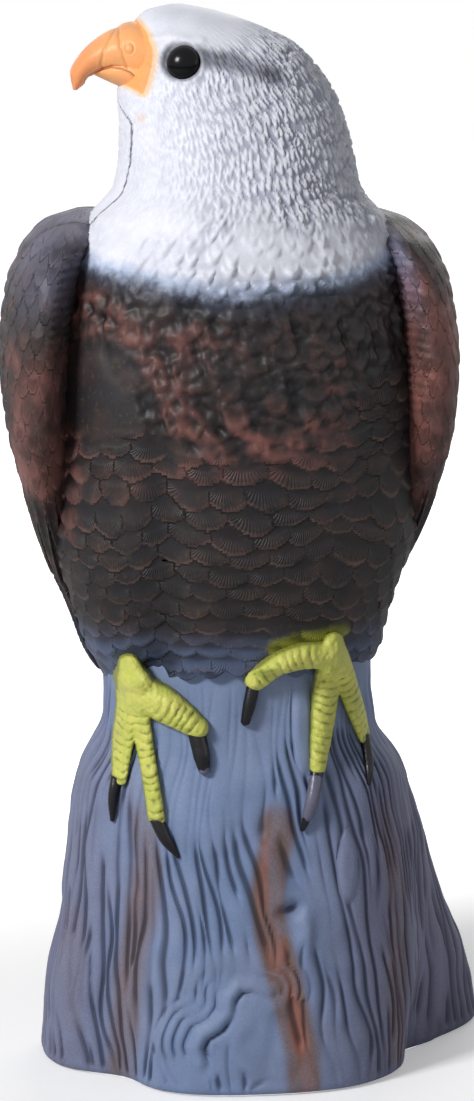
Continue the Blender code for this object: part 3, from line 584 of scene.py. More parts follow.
def seam_at(x, y, height):
    """Where the parting line shows as a dark line, painted shade of the gap between the halves."""
    return ease(0.9, 0.2, np.abs(y - parting_y(x, height)))


def bird_skin(height, angle):
    """Plain bird: ovals from the feather hem to the crown; the hem climbs towards the front."""
    centre, radial = oval(BIRD, height, angle, BIRD_SQUARENESS)
    frontness = np.maximum(0, -np.sin(angle)) ** 2
    rise = HEM_RISE * frontness * np.clip(1 - (height - HEM) / (4 * HEM_RISE), 0, 1) ** 2
    return centre + radial + joined(0, 0, rise)


def barbs_group():
    """Fine ribs of a feather, fanning out to its edge, and the band along its edge that takes a painted
    highlight.
    """
    group, (feather, ribs), out = new_group(
        "feather_barbs", {"Feather": (0, 0, 0), "Ribs": 46.0}, {"Height": 1, "Edge": 1})
    side, down, luck = split(feather)
    fan = side / (down * 0.65 + 0.35) * ribs + noise(group, 3.5) * 6.0 + luck * 9.0
    rib = fan.reckon("SINE") * 0.5 + 0.5
    feed(out["Height"], rib * (ramp(down, 0.15, 0.45) * ramp(down, 0.95, 0.8)))
    feed(out["Edge"], ramp(down, 0.7, 0.86) * ramp(down, 1.0, 0.92))
    return group


BARBS = barbs_group()


def feather_finish(tree):
    """Brown-black plumage with rust patches, blue towards the stump, and the white head over it; painted
    shade in the hollows and painted highlights on the feather edges and the wing tops.
    """
    ribs, edge = placed(tree, BARBS, Feather=mark(tree, "feather", "Vector"))
    white, rust, slate = split(mark(tree, "spray", "Vector"))
    stripe_and_eye_shade, yellow, halo = split(mark(tree, "touch", "Vector"))
    fine, broad = noise(tree, 1.6, 3) - 0.5, noise(tree, 6, 3) - 0.5
    above = white + (fine * 3.0 + broad * 6.0)
    white = ramp(above, -2.0, 4.0)
    dark = tinted(ramp(noise(tree, 14), 0.4, 0.65), "232023", "352a29")
    dark = tinted(ramp(rust + broad * 0.7, 0.15, 1.15), dark, "8e5b54")
    dark = tinted(ramp(slate + broad * 0.4, 0.1, 1.0), dark, "4f5c79")
    # Pale line along each feather's edge: a painted highlight.
    dark = tinted(edge * ramp(noise(tree, 12), 0.35, 0.65) * 0.45, dark, "7c5f57")
    # Lilac painted highlight on the wings' tops.
    dark = tinted(mark(tree, "lilac_highlight"), dark, "9a98b6")
    dark = tinted(ramp(above, -13.0, 0.0), dark, tinted(ramp(above, -7.0, 0.0), "464d60", "b3c0da"))
    # The eye stripe and the painted shade round the eye darken the white.
    pale = tinted(ramp(stripe_and_eye_shade + fine * 0.35, 0.0, 1.15), "e4e6f1", "44464e")
    colour = tinted(white, dark, pale)
    colour = tinted(ramp(yellow + fine * 0.7, 0.0, 1.2), colour, "8f9130")
    colour = tinted(ramp(halo + fine * 0.5, 0.0, 1.1) * 0.8, colour, "f3c280")
    colour = tinted(ramp(mark(tree, "orange"), 0.2, 0.8), colour, "f6a862")
    # Dark line of the seam and over the crown: painted shade of the gap between the halves.
    _, y, z = split(place_in(tree))
    crown = ramp((y - HEAD_Y * MM).reckon("ABSOLUTE"), 0.6 * MM, 0.25 * MM)
    crown = crown * ramp(z, (SEAM_TOP - 2) * MM, SEAM_TOP * MM)
    colour = tinted(mark(tree, "seam").reckon("MAXIMUM", crown) * 0.85, colour, "3c3637")
    # The hollow colours are painted shade, near black under the dark feathers and grey-lavender on the
    # white; the rubbed colours are wear and partly a painted highlight.
    colour, roughness, speckle = placed(
        tree, SPRAYED, Colour=colour, Hollow=tinted(white, "121014", "8f94ab"),
        Rubbed=tinted(white, "75655f", "ffffff"), Relief=mark(tree, "relief"),
        Depth=0.75, Wear=0.25, Sheen=0.5)
    return colour, roughness, speckle * 0.2 + ribs * ramp(noise(tree, 16), 0.3, 0.6), 0.22


FEATHER_PAINT = painted("feather_paint", feather_finish)


def swept_back(angle, height):
    """Run of the head's feathers, across and along: out of the beak's root, over and down the neck."""
    apart = 40 * (np.pi - np.abs((angle + np.pi) % (2 * np.pi) - np.pi))
    drop = EYE_Z + 6 - height
    bend = 38
    far = np.hypot(apart, drop) + 3
    return apart + bend * np.arctan2(apart, drop), drop + bend * np.log(far / bend), far


def bird_relief(points, height, angle):
    """Height of the feathers in millimetres and their marks, among them their painted shade."""
    turns = angle / (2 * np.pi)
    x, in_front = points[..., 0], points[..., 1] < 0
    wobble = unevenness(points, 26, 11)
    grain = unevenness(points, 2.6, 12)
    lumps = unevenness(points, 5, 15)
    furrow = hump(x + 33, 7) * in_front
    rows = (HEM + 400 - height) / BELLY_ROW + 0.6 * wobble + 0.25 * furrow
    belly = overlap(turns * BELLY_ROUND + 0.3 * wobble, rows, BELLY_ROUND, 21, 1.5, 2.1, 0.4, 0.4)
    rows = (ROWS_FROM - height) / TUFT_ROW
    tufts = overlap(turns * TUFTS_ROUND + 0.7 * wobble, rows + 0.7 * wobble,
                    TUFTS_ROUND, 22, 1.15, 1.6, 0.45, 1.0)
    bumps = overlap(turns * BUMPS_ROUND + 0.5 * wobble, rows, BUMPS_ROUND, 23, 0.72, 0.95, 0.8, 1.0)
    drips = unevenness(joined(x + 0.3 * height, points[..., 1], 0.5 * height), 4.2, 18)
    across, along, far = swept_back(angle, height)
    twist = 0.6 * unevenness(points, 8, 19)
    locks = overlap(across / 3.0 + 0.4 * wobble + twist, along / 5.8 + 200, 256, 24, 1.1, 1.8, 0.8, 1.0)
    to_head = ease(314, 332, height + 5 * wobble)
    to_collar = ease(288, 302, height + 3 * wobble) * (1 - to_head)
    to_belly = ease(2, -12, height - section_at(BREAST_EDGE, x)[0] + 4 * wobble)
    to_belly = to_belly * (1 - to_collar) * (1 - to_head)
    to_breast = 1 - to_head - to_collar - to_belly
    calm = ease(9, 26, far) * ease(398, 384, height) * (1 - 0.9 * ease(381, 387, height) * ease(12, -6, x))
    patchy = ease(-0.45, 0.35, unevenness(points, 12, 13))
    worn = 0.3 + 0.7 * ease(-0.4, 0.2, unevenness(points, 34, 14) + 0.2)
    rightward = ease(-70, 25, x)
    plucked = 1 - 0.9 * ease(20, 11, np.hypot(x + 55, (height - 263) * 0.75)) * in_front
    curls = 1 - 2.2 * np.abs(drips)
    ragged = 1.2 * lip(tufts[0], 0.8, 0.6) + 0.9 * curls + 0.9 * drips + 0.6 * lumps + 0.7 * grain
    bumpy = (0.3 + 0.7 * patchy) * (0.6 + 0.7 * rightward)
    swept = calm * (0.25 + 0.85 * rightward) * (0.6 + 0.55 * patchy)
    heights = [plucked * worn * (1.15 + 0.3 * belly[2]) * lip(belly[0], 1.2, 0.75) - 0.3 - 2.3 * furrow,
               plucked * ragged - 0.8,
               bumpy * (3.4 * lip(bumps[0], 1.5, 0.5) + 0.7 * grain),
               swept * (1.8 * lip(locks[0], 1.0, 0.65) - 0.6)]
    weights = [to_belly, to_breast, to_collar, to_head]
    relief = sum(weight * rise for weight, rise in zip(weights, heights))
    # Painted shade, laid down as the relief mark: low under each feather's edge, in the furrow and between
    # the bumps and locks, and lower towards the right, away from the light.
    right_side_shade = 0.16 * ease(5, 45, x)
    shadow = [0.35 + plucked * (0.55 * belly[0] ** 0.8 + 0.2 * (1 - worn) - 0.31) - right_side_shade - 0.25 * furrow,
              0.2 + 0.3 * lip(tufts[0], 0.8, 0.6) + 0.3 * curls + 0.2 * drips - 2 * right_side_shade,
              0.5 + 0.6 * lip(bumps[0], 1.0, 0.5) - (0.1 + 0.2 * rightward) * patchy,
              0.5 + calm * (0.1 + 0.75 * rightward) * (lip(locks[0], 0.7, 0.65) - 0.5)]
    shadow = np.clip(sum(weight * rise for weight, rise in zip(weights, shadow)), 0, 1)
    down = belly[0] * ease(0.2, 0.8, to_belly) * ease(0.2, 0.8, plucked)
    return relief, shadow, joined(belly[1], down, belly[2])


def make_bird():
    """Feathers, hem, thighs, eye rims and brows over the plain bird, then the marks of the paint."""
    heights = np.concatenate([np.linspace(HEM, COLLAR, 186)[:-1], np.linspace(COLLAR, CROWN - 0.25, 112)])
    height, angle = ring_grid(BIRD_COLUMNS, heights, FRONT_CROWDING)
    points = bird_skin(height, angle)
    # rise is the feathers' painted shade, laid down below as the relief mark.
    relief, rise, feather = bird_relief(points, height, angle)
    x, y, z = np.moveaxis(points, -1, 0)
    in_front = ease(0.75, 0.95, -np.sin(angle))
    tips = (0.5 + 2.0 * in_front) * np.abs(np.sin(17 * angle + 0.9)) * ease(HEM + 9, HEM, height)
    relief = relief * ease(HEM - 4, HEM + 12, height) - 3.2 * (1 - in_front) * ease(HEM + 16, HEM, height)
    for thigh_x, thigh_z, swell in ((-52, 190, 1.8), (30, 190, 1.8), (-33, 200, -1.4), (-14, 196, 0.8)):
        relief = relief + swell * (y < 0) * hump(x - thigh_x, 13, z - thigh_z, 28)
    eye = np.hypot(x - EYE_X, z - EYE_Z)
    relief = relief * ease(7.5, 11, eye) + 0.55 * hump(eye - 7.3, 0.9)
    relief = relief + 0.7 * hump(line_distance(x, z, BROW), 1.6)
    relief = relief * ease(CROWN - 1, CROWN - 6, height)
    points = raised(points, relief)
    points[..., 2] -= tips
    white = z - section_at(WHITE_EDGE, x)[0]
    patch = 0.6 + 0.4 * unevenness(points, 19, 31)
    rust = (0.6 + 0.25 * ease(0, -35, x)) * patch * ease(190, 245, z) * ease(297, 282, z)
    rust = np.maximum(rust, (0.5 + 0.35 * patch) * ease(20, 5, line_distance(x, z, RUST_ARC)))
    rust = np.maximum(rust, 0.7 * ease(10, 3, np.abs(x + 66)) * ease(195, 215, z) * ease(285, 260, z))
    plucked = 1 - 0.85 * ease(18, 10, np.hypot(x + 53, (z - 262) * 0.75))
    # The rust paint fades out towards the right as painted shade and follows the painted shade, strongest
    # on the lit tops as a painted highlight.
    rust = rust * ease(56, 34, x) * (0.45 + 0.7 * rise) * plucked
    slate = ease(182, 160, z)
    stripe_and_eye_shade = ease(6.5, 1, line_distance(x, z, EYE_STRIPE) / (0.6 + 0.4 * ease(17, 8, x))) * ease(20, 9, x)
    stripe_and_eye_shade = stripe_and_eye_shade * (0.95 - 0.25 * ease(-8, 14, x) + 0.3 * unevenness(points * (0.5, 1, 1), 5, 33))
    # Painted shade in the eye socket: dark on the eye's front side and in a thin ring round it.
    stripe_and_eye_shade = np.maximum(stripe_and_eye_shade, ease(9.5, 6.2, eye) * ease(EYE_X + 2, EYE_X - 6, x))
    stripe_and_eye_shade = np.maximum(stripe_and_eye_shade, 0.7 * ease(7.8, 6.2, eye))
    yellow = ease(6, 1, line_distance(x, z, FOOT_OVERSPRAY)) + 0.25 * ease(8, 4, np.hypot(x + 44, z - 160))
    past = x - section_at(BEAK_REAR, z)[0] + 3 * ease(394, 397, z) + 3 * ease(367.5, 364, z)
    chin = z - CHIN_Z + 0.55 * (x - CHIN_X)
    halo = ease(3.6, 0.2, past) * ease(397, 393, z) * ease(-3, 0, chin)
    orange = ease(0.5, -0.5, past) * ease(396, 394, z) * ease(-0.8, 0.8, chin)
    smear = ease(4, 0, np.hypot(x + 37.5, z - 359)) * 0.5
    marks = {"feather": feather, "relief": rise, "spray": joined(white, rust, slate),
             "touch": joined(stripe_and_eye_shade, yellow * (y < 0), np.maximum(halo, smear)), "orange": orange,
             "seam": seam_at(x, y, z) * ease(300, 306, z) * (z < SEAM_TOP)}
    under = points[:1] * (0.82, 0.82, 1) + (0, 0, 1.2)
    points = np.concatenate([under, points])
    marks = {name: np.concatenate([values[:1], values]) for name, values in marks.items()}
    return skin_object("bird", points, FEATHER_PAINT, marks)


bird = make_bird()

# ---- Folded wings -----------------------------------------------------------------------------
# Moulded in one with the body on both sides: a ribbed leading edge at the shoulder, rows of small
# coverts over the outer face and long flight feathers that meet over the tail.

WING = np.array([    # height, x, y, half chord, half thickness, wrap round the back, turn to the back
    (325, 53, 7, 8, 3, 2, 0),
    (321, 58, 6, 24, 10, 8, 0),
    (313, 62.5, 1, 37, 13.5, 15, 0),
    (298, 68, 0, 43, 14.5, 22, 0),
    (272, 70.6, 0, 47, 15, 25, 1),
    (248, 69.2, 3, 48, 14, 24, 4),
    (222, 63, 12, 45, 12.5, 19, 10),
    (198, 52, 24, 40, 11, 12, 22),
    (174, 38, 35, 33, 9, 5, 40),
    (150, 29, 44, 27, 8, 2, 54),
    (128, 19, 50.5, 16, 6.5, 0, 66),
    (112, 12.5, 54, 4, 2, 0, 74),
])[::-1]
WINGS_X = -3.6
WING_ROOT_DEPTH = 24
WING_LIP_DEPTH = 13
WING_REAR = np.pi * 0.62        # angle where the feathered outer face ends
WING_ROUND = 90                 # feathers that would go round at the wing's spacing
UNWHITENED = -30.0              # height over the edge of the white that keeps it away


def wing_skin(side, height, angle):
    """Plain folded wing; angle 0 faces outwards and a right angle is its rear edge."""
    x, y, chord, thickness, wrap, yaw = section_at(WING, height)
    yaw = np.radians(yaw)
    forth, out = chord * np.sin(angle), np.cos(angle)
    root = WING_LIP_DEPTH + (WING_ROOT_DEPTH - WING_LIP_DEPTH) * np.clip(0.5 + 1.2 * np.sin(angle), 0, 1)
    depth = np.where(out > 0, thickness, np.minimum(root, 2 * thickness))
    reach = depth * out - wrap * np.maximum(0, np.sin(angle)) ** 2
    return joined(WINGS_X + side * (x - np.sin(yaw) * forth + np.cos(yaw) * reach),
                  y + np.cos(yaw) * forth + np.sin(yaw) * reach, height)


def make_wing(side):
    """Folded wing with its feathers; side is 1 on +X and -1 on -X."""
    outer = np.linspace(-np.pi * 0.86, WING_REAR, 190)
    inner = np.linspace(WING_REAR, np.pi * 1.14, 18)[1:]
    heights = np.linspace(WING[0, 0], WING[-1, 0], 225)
    height, angle = crossed(heights, np.concatenate([outer, inner]))
    points = wing_skin(side, height, angle)
    wobble = unevenness(points, 24, 41 + side)
    face, down = angle / np.pi * 9, ROWS_FROM - height
    coverts = overlap(face * 1.15 + 0.2 * wobble + 40, down / 8.2 + 0.4 * wobble,
                      WING_ROUND, 43 + side, 1.25, 1.9, 0.42, 0.5)
    flight = overlap(face + 0.012 * (220 - height) + 40, down / 46 + 0.07 * face,
                     WING_ROUND, 47 + side, 1.15, 1.9, 0.5, 0.4)
    to_flight = ease(226, 208, height + 6 * wobble)
    rib_low = 246 if side > 0 else 268
    ribbed = ease(0.45, 0.2, np.abs(angle + 2.05)) * ease(rib_low, rib_low + 18, height)
    ribbed = ribbed * ease(322, 310, height)
    bars = np.cos(2 * np.pi * (height / 3.3 + 0.5 * angle + 0.3 * wobble))
    sunk = 0.35 + 0.65 * ease(-1.3, 0.3, angle)
    relief = (1 - to_flight) * (1 - ribbed) * sunk * (1.1 * lip(coverts[0], 1.2, 0.75) - 0.4)
    relief = relief + to_flight * (1.7 * lip(flight[0], 0.9, 0.9) - 0.9)
    relief = (relief + 0.4 * ribbed * bars) * ease(324, 312, height) * ease(113, 122, height)
    shell = ease(-2.7, -2.5, angle) * ease(1.9, 1.7, angle)
    zones = [joined(across, down, luck) for down, across, luck in (coverts, flight)]
    picked = (to_flight > 0.5).astype(int)
    # Painted shade for the relief mark: dark at the root of each feather and lighter towards its edge,
    # striped across the ribs.
    rise = np.choose(picked, [0.35 + 0.6 * sunk * lip(coverts[0], 0.8), 0.2 + lip(flight[0], 0.9, 0.9)])
    rise = rise * (1 - ribbed) + ribbed * (0.6 + 0.25 * bars)
    patch = 0.6 + 0.4 * unevenness(points, 12, 45)
    rusty = ease(1.6, 0.5, np.abs(angle + 1.5)) * ease(190, 232, height)
    rust = 0.95 * rusty * (ease(322, 295, height) if side > 0 else ease(290, 272, height)) * patch
    # Lilac painted highlight on the lit top of the right wing's leading edge and over the left wing's
    # shoulder.
    lilac_highlight = 0.6 * ease(0.6, 0.15, np.abs(angle + 2.1)) * ease(278, 318, height)
    if side < 0:
        lilac_highlight = 0.5 * ease(2.2, 1.0, np.abs(angle + 1.2)) * ease(280, 312, height) * patch
    marks = {"feather": np.choose(picked[..., None], zones), "relief": rise, "lilac_highlight": lilac_highlight,
             "spray": joined(UNWHITENED, rust, ease(185, 150, height) * 0.6),
             "seam": seam_at(points[..., 0], points[..., 1], height) * (height > 200)}
    points = raised(points, relief * shell * side)[:, ::side]
    marks = {name: values[:, ::side] for name, values in marks.items()}
    return skin_object("wing", points, FEATHER_PAINT, marks)


wings = [make_wing(1), make_wing(-1)]

# ---- Tail -------------------------------------------------------------------------------------
# Fan of six long feathers down the back of the stump, behind the wing tips.

TAIL_TOP, TAIL_TIP = (190, 34, 46), (98, 50, 53)    # height, width and y
TAIL_THICKNESS = 9
TAIL_FEATHERS = 6


def make_tail():
    """Flat fan whose feathers step over each other and end in rounded tips."""
    height, angle = ring_grid(240, np.linspace(TAIL_TIP[0], TAIL_TOP[0], 90))
    share = (height - TAIL_TIP[0]) / (TAIL_TOP[0] - TAIL_TIP[0])
    half = (TAIL_TIP[1] * (1 - share) + TAIL_TOP[1] * share) / 2
    thick = TAIL_THICKNESS / 2 * (0.45 + 0.55 * share)
    across = np.cos(angle)
    place = (across * 0.5 + 0.5) * TAIL_FEATHERS
    part = place - np.floor(np.clip(place, 0, TAIL_FEATHERS - 0.001))
    side = 2 * part - 1
    drop = (6 * (1 - side ** 2) - 9 * np.abs(across) ** 3) * (1 - share)
    relief = 1.5 * (part - 0.5) + 0.5 * hump(side, 0.09)
    outward = (thick + relief * ease(0, 0.3, np.abs(np.sin(angle)))) * np.sin(angle)
    points = joined(WINGS_X + half * across, TAIL_TIP[2] * (1 - share) + TAIL_TOP[2] * share + outward,
                    height - drop)
    # The relief mark is painted shade: dark along the low side of each feather, under its neighbour.
    marks = {"feather": joined(side, 0.55 + 0.4 * (1 - share), np.floor(place) / TAIL_FEATHERS),
             "relief": 0.25 + 0.75 * part, "spray": joined(UNWHITENED, 0, 0.2 + 0.35 * (1 - share))}
    return skin_object("tail", points, FEATHER_PAINT, marks)


tail = make_tail()

# ---- Beak -------------------------------------------------------------------------------------
# Part of the moulding as well, sprayed orange: a hooked upper half with a cere, a nostril and two
# shallow creases, and a short lower half. The mouth is a line between the two, dark with painted shade.

MOUTH = 376
UPPER_BEAK = np.array([    # place along it, top x, top z, low x, low z, half width; z is from the mouth
    (0, -28, 16, -28, -7, 16.5),
    (1, -39, 17.4, -38, -4.8, 14.5),
    (2, -46, 15, -45, -2.4, 12),
    (3, -52.8, 11, -51, -1.4, 9.5),
    (4, -58.6, 5.4, -54.6, -2.6, 7),
    (5, -62, -1, -57.2, -5.4, 4.6),
    (6, -61, -7.3, -59.6, -7.3, 1.2),
])
LOWER_BEAK = np.array([
    (0, -28, 4, -28, -12, 15.5),
    (1, -39.5, 5, -38, -8.6, 13),
    (2, -47, 4.4, -46, -5.2, 10),
    (3, -54, 1.2, -53, -2, 4),
])
CREASES = [[(-44.6, 392), (-47, 389), (-49.2, 385.6), (-50.6, 382), (-51.2, 378.6), (-50.8, 376.8)],
           [(-44.6, 392), (-44.9, 388), (-44.4, 384), (-43, 379.3), (-41.4, 375.4), (-39.5, 372.4)]]
NOSTRIL = (-41.2, 383.8)
MOUTH_LINE = [
    (-56.5, 372), (-54.5, 374.1), (-51, 376.2), (-47.5, 377.2), (-44, 376.8), (-40.8, 375.2), (-38, 372),
    (-36.6, 368.9),
]


def beak_finish(tree):
    """Orange, deeper along the ridge and the hook, with brown painted shade in the mouth and the creases.
    """
    hook = ramp(mark(tree, "hook") + noise(tree, 5) * 0.4, 0.3, 1.2)
    colour, roughness, speckle = placed(
        tree, SPRAYED, Colour=tinted(hook, "fab173", "ee9a62"), Hollow="8a4a2a", Rubbed="fdd0a0",
        Relief=mark(tree, "relief"), Depth=0.9, Wear=0.3, Sheen=0.38)
    return colour, roughness, speckle * 0.15, 0.3


BEAK_PAINT = painted("beak_paint", beak_finish)


def make_beak(sections, last):
    """Half of the beak from its sections; last is the place of its tip."""
    place, angle = ring_grid(120, np.linspace(0, last, 36 * last + 1))
    top_x, top_z, low_x, low_z, width = section_at(sections, place)
    middle = joined((top_x + low_x) / 2, HEAD_Y, MOUTH + (top_z + low_z) / 2)
    rise = joined((top_x - low_x) / 2, 0, (top_z - low_z) / 2)
    points = middle + rise * np.sin(angle)[..., None]
    points[..., 1] += width * np.cos(angle)
    x, z = points[..., 0], points[..., 2]
    crease = np.minimum(*(line_distance(x, z, path) for path in CREASES))
    nostril = np.hypot((x - NOSTRIL[0]) / 1.5, (z - NOSTRIL[1]) / 1.8)
    cut = 0.6 * np.maximum(hump(crease, 0.7), hump(nostril - 1, 0.3))
    cut = np.maximum(cut, hump(line_distance(x, z, MOUTH_LINE), 0.5))
    relief = -0.55 * cut + 0.35 * hump(nostril, 1.2)
    # Painted shade for the relief mark: dark in the creases, round the nostril and along the mouth.
    marks = {"relief": 0.5 * (1 - cut) + 0.12, "hook": ease(-44, -60, x)}
    points = raised(points, -relief * ease(last, last - 0.4, place))[:, ::-1]
    marks = {name: values[:, ::-1] for name, values in marks.items()}
    return skin_object("beak", points, BEAK_PAINT, marks)


beak = [make_beak(UPPER_BEAK, 6), make_beak(LOWER_BEAK, 3)]

# ---- Feet -------------------------------------------------------------------------------------
# Moulded on the stump's front: leg ends that come out of the belly, three scaly toes each and
# curved claws. The legs and toes are sprayed yellow-green and the claws black by hand.

LEFT_FOOT = {    # every line runs through its points in x, height and radius
    "leg": [(-43.5, 160.5, 3.8), (-42.8, 157, 5), (-41.5, 152, 6.9), (-41, 147, 6.4)],
    "toes": [[(-39, 149.5, 7.2), (-33, 146.8, 7.2), (-26, 142.8, 5.9), (-19.8, 138.6, 4.5)],
             [(-41.5, 150, 4.6), (-39.8, 139, 3.9), (-37, 121, 3.2), (-34.9, 105, 3.3)],
             [(-43.6, 150, 4.6), (-44, 142, 4.1), (-46, 129, 3.6), (-47.6, 117.5, 2.7)]],
    "claws": [[(-20.4, 138, 3.2), (-18.6, 130, 3.2), (-17.4, 122.5, 2.0)],
              [(-35, 105, 2.7), (-32, 98, 2.3), (-27, 90.6, 0.6)],
              [(-48.8, 117.5, 2.0), (-50.2, 109, 1.8), (-50.4, 101, 0.8)]],
}
RIGHT_FOOT = {
    "leg": [(30.5, 169, 4.4), (30.5, 165, 5.6)],
    "toes": [[(30, 164.5, 5.4), (19.5, 165, 5.2), (10.5, 162.2, 5.1), (1.8, 156, 4.4)],
             [(30.5, 164, 5.6), (28.8, 152, 5.6), (27, 137, 4.7), (24.8, 123, 3.3)],
             [(32, 164, 4.9), (36.4, 153, 4.6), (41.2, 140, 4), (44.4, 130.6, 2.9)]],
    "claws": [[(1.4, 156, 2.4), (-0.4, 148, 2.4), (-2.2, 140, 1.7)],
              [(24.8, 124, 2.4), (22.2, 112, 2.6), (18.4, 100.4, 0.9)],
              [(44.4, 131, 2.0), (45.2, 122, 1.9), (44.8, 114, 0.8)]],
}
BARE_CLAWS = [(22, 112, 12), (-17, 120, 6)]    # where the black has missed: x, height and reach
TOE_RISE = 1.35                # height of a toe over the skin in its radii
TOE_BURIED = 7
TOE_GRID = 0.45
CLAW_SINK = 0.5
SCUTE_PITCH = 3.0


def toe_finish(tree):
    """Yellow-green, olive between the scales and round each toe's edge as painted shade, with thin pale
    patches on the high spots, rubbed wear and partly a painted highlight.
    """
    colour = tinted(ramp(noise(tree, 7, 3), 0.35, 0.7), "bfc45c", "d2d06c")
    colour, roughness, _ = placed(tree, SPRAYED, Colour=colour, Hollow="5d6424", Rubbed="ece99a",
                                  Relief=mark(tree, "relief"), Depth=0.75, Wear=0.35, Sheen=0.45)
    return colour, roughness, noise(tree, 1.3, 1), 0.4


def claw_finish(tree):
    """Gloss black, rubbed thin in places, with the bare plastic where it is missing."""
    bare = ramp(mark(tree, "bare") + (noise(tree, 2.5, 3) - 0.5) * 1.2, 0.4, 0.6)
    coat = placed(tree, SPRAYED, Colour=tinted(bare, "121115", "656378"), Hollow="0a0a0c", Rubbed="5b5a62",
                  Relief=0.6, Depth=0.4, Wear=0.4, Sheen=0.28)
    return *coat, 0.12


TOE_PAINT = painted("toe_paint", toe_finish)
CLAW_PAINT = painted("claw_paint", claw_finish)


def front_depth(x, height):
    """y of the plain front skin, the stump's below the hem and the bird's above it."""
    x, height = np.broadcast_arrays(np.asarray(x, float), np.asarray(height, float))
    angle = np.linspace(-np.pi, 0, 181)
    low, high = np.empty(x.shape), np.empty(x.shape)
    for level in np.unique(height):
        here = height == level
        for skin, depth in ((stump_skin, low), (bird_skin, high)):
            ring = skin(level + 0 * angle, angle)
            depth[here] = np.interp(x[here], ring[:, 0], ring[:, 1])
    hem = HEM + HEM_RISE * np.maximum(0, 1 - (x / BIRD[0, 2]) ** 2)
    return low + (high - low) * ease(hem - 3, hem + 3, height)


def smooth_path(knots):
    """Ten points for each knot of a line."""
    table = np.column_stack([np.arange(len(knots)), knots])
    return joined(*section_at(table, np.linspace(0, len(knots) - 1, 10 * len(knots))))


def toe_form(x, height, knots):
    """Height of a toe over the skin, how far along it each point lies and how far out (1 at its edge)."""
    rise, along, out = np.full(x.shape, -TOE_BURIED), np.zeros(x.shape), np.full(x.shape, 9.0)
    travelled = 0
    path = smooth_path(knots)
    for (ax, az, ar), (bx, bz, br) in zip(path, path[1:]):
        step = np.hypot(bx - ax, bz - az)
        part = np.clip(((x - ax) * (bx - ax) + (height - az) * (bz - az)) / step ** 2, 0, 1)
        radius = ar + (br - ar) * part
        apart = np.hypot(x - ax - part * (bx - ax), height - az - part * (bz - az)) / radius
        high = radius * TOE_RISE * np.sqrt(np.maximum(0, 1 - apart ** 2)) - TOE_BURIED * (apart >= 1)
        along = np.where(apart < out, travelled + part * step, along)
        rise, out = np.maximum(rise, high), np.minimum(out, apart)
        travelled += step
    return rise, along, out


def make_foot_skin(foot):
    """Leg and toes in one relief over the skin, closed behind it."""
    spots = np.array(sum(foot["toes"], foot["leg"]))
    low_x, low_z = (spots[:, :2] - spots[:, 2:]).min(0) - 1
    high_x, high_z = (spots[:, :2] + spots[:, 2:]).max(0) + 1
    rows, columns = (math.ceil(size / TOE_GRID) for size in (high_z - low_z, high_x - low_x))
    height, share = crossed(np.linspace(low_z, high_z, rows), np.linspace(0, 1, columns))
    start = np.maximum(low_x, section_at(STUMP, height)[0] + 2.2)
    x = start + (high_x - start) * share
    plain = joined(x, front_depth(x, height), height)
    pimples = unevenness(plain, 1.5, 61)
    wavy = 1.3 * unevenness(plain, 6, 62)
    rises, tones = [], []
    for number, knots in enumerate([foot["leg"]] + foot["toes"]):
        rise, along, out = toe_form(x, height, knots)
        scales = np.abs(np.sin(np.pi * (along + 0.8 * out ** 2) / SCUTE_PITCH + wavy)) ** 0.7
        scaly = (number > 0) * ease(1.0, 0.7, out) * ease(3, 9, along)
        rises.append(rise + (out < 1) * (scaly * (0.8 * scales - 0.5) + (0.5 - 0.2 * scaly) * pimples))
        # Painted shade for the relief mark: dark round each toe's edge and between its scales.
        tones.append(ease(1.02, 0.75, out) * (0.62 - 0.5 * scaly * (1 - scales) + 0.25 * pimples))
    blend = 1.4
    rise = np.log(np.exp(blend * np.array(rises)).sum(0)) / blend
    rise = rise - math.log(len(rises)) / blend * (np.max(rises, 0) < 0)
    tone = np.take_along_axis(np.array(tones), np.argmax(rises, 0)[None], 0)[0]
    front = plain - (0, 1, 0) * rise[..., None]
    back = plain[:, [-1, 0]] + (0, 2 * TOE_BURIED, 0)
    points = np.concatenate([front, back, front[:, :1]], 1)
    tone = np.concatenate([tone, tone[:, [-1, 0, 0]]], 1)
    return skin_object("foot", points, TOE_PAINT, {"relief": np.clip(tone, 0, 1)})


def make_claw(knots):
    """Curved spike that lies on the bark."""
    path = smooth_path(knots)
    ahead = np.gradient(path[:, :2], axis=0)
    ahead /= np.linalg.norm(ahead, axis=-1, keepdims=True)
    end = path[-1:] + np.append(ahead[-1] * path[-1, 2] * 0.7, -0.7 * path[-1, 2])
    path, ahead = np.concatenate([path, end]), np.concatenate([ahead, ahead[-1:]])
    radius = path[:, 2]
    arch = 0.8 * np.sin(np.linspace(0, np.pi, len(path)))
    y = front_depth(path[:, 0], path[:, 1]) - radius * (1 - CLAW_SINK) - arch
    row, angle = crossed(np.arange(len(path)), np.linspace(0, 2 * np.pi, 25))
    sideways, outward = radius[row] * np.cos(angle), radius[row] * np.sin(angle)
    points = joined(path[row, 0] - ahead[row, 1] * sideways, y[row] - outward,
                    path[row, 1] + ahead[row, 0] * sideways)
    bare = 0
    for spot_x, spot_z, reach in BARE_CLAWS:
        apart = np.hypot(points[..., 0] - spot_x, points[..., 2] - spot_z)
        bare = np.maximum(bare, ease(reach, reach * 0.4, apart))
    return skin_object("claw", points, CLAW_PAINT, {"bare": bare})


feet = []
for foot in (LEFT_FOOT, RIGHT_FOOT):
    feet.append(make_foot_skin(foot))
    feet += [make_claw(claw) for claw in foot["claws"]]

# ---- The two halves of the moulding -------------------------------------------------------------
# All the forms above are one hollow skin of soft plastic, moulded as a front and a rear half that
# meet along the parting line. Inside and underneath it stays the bare blue plastic, with a boss
# behind each eye and a rim round the ballast hole.

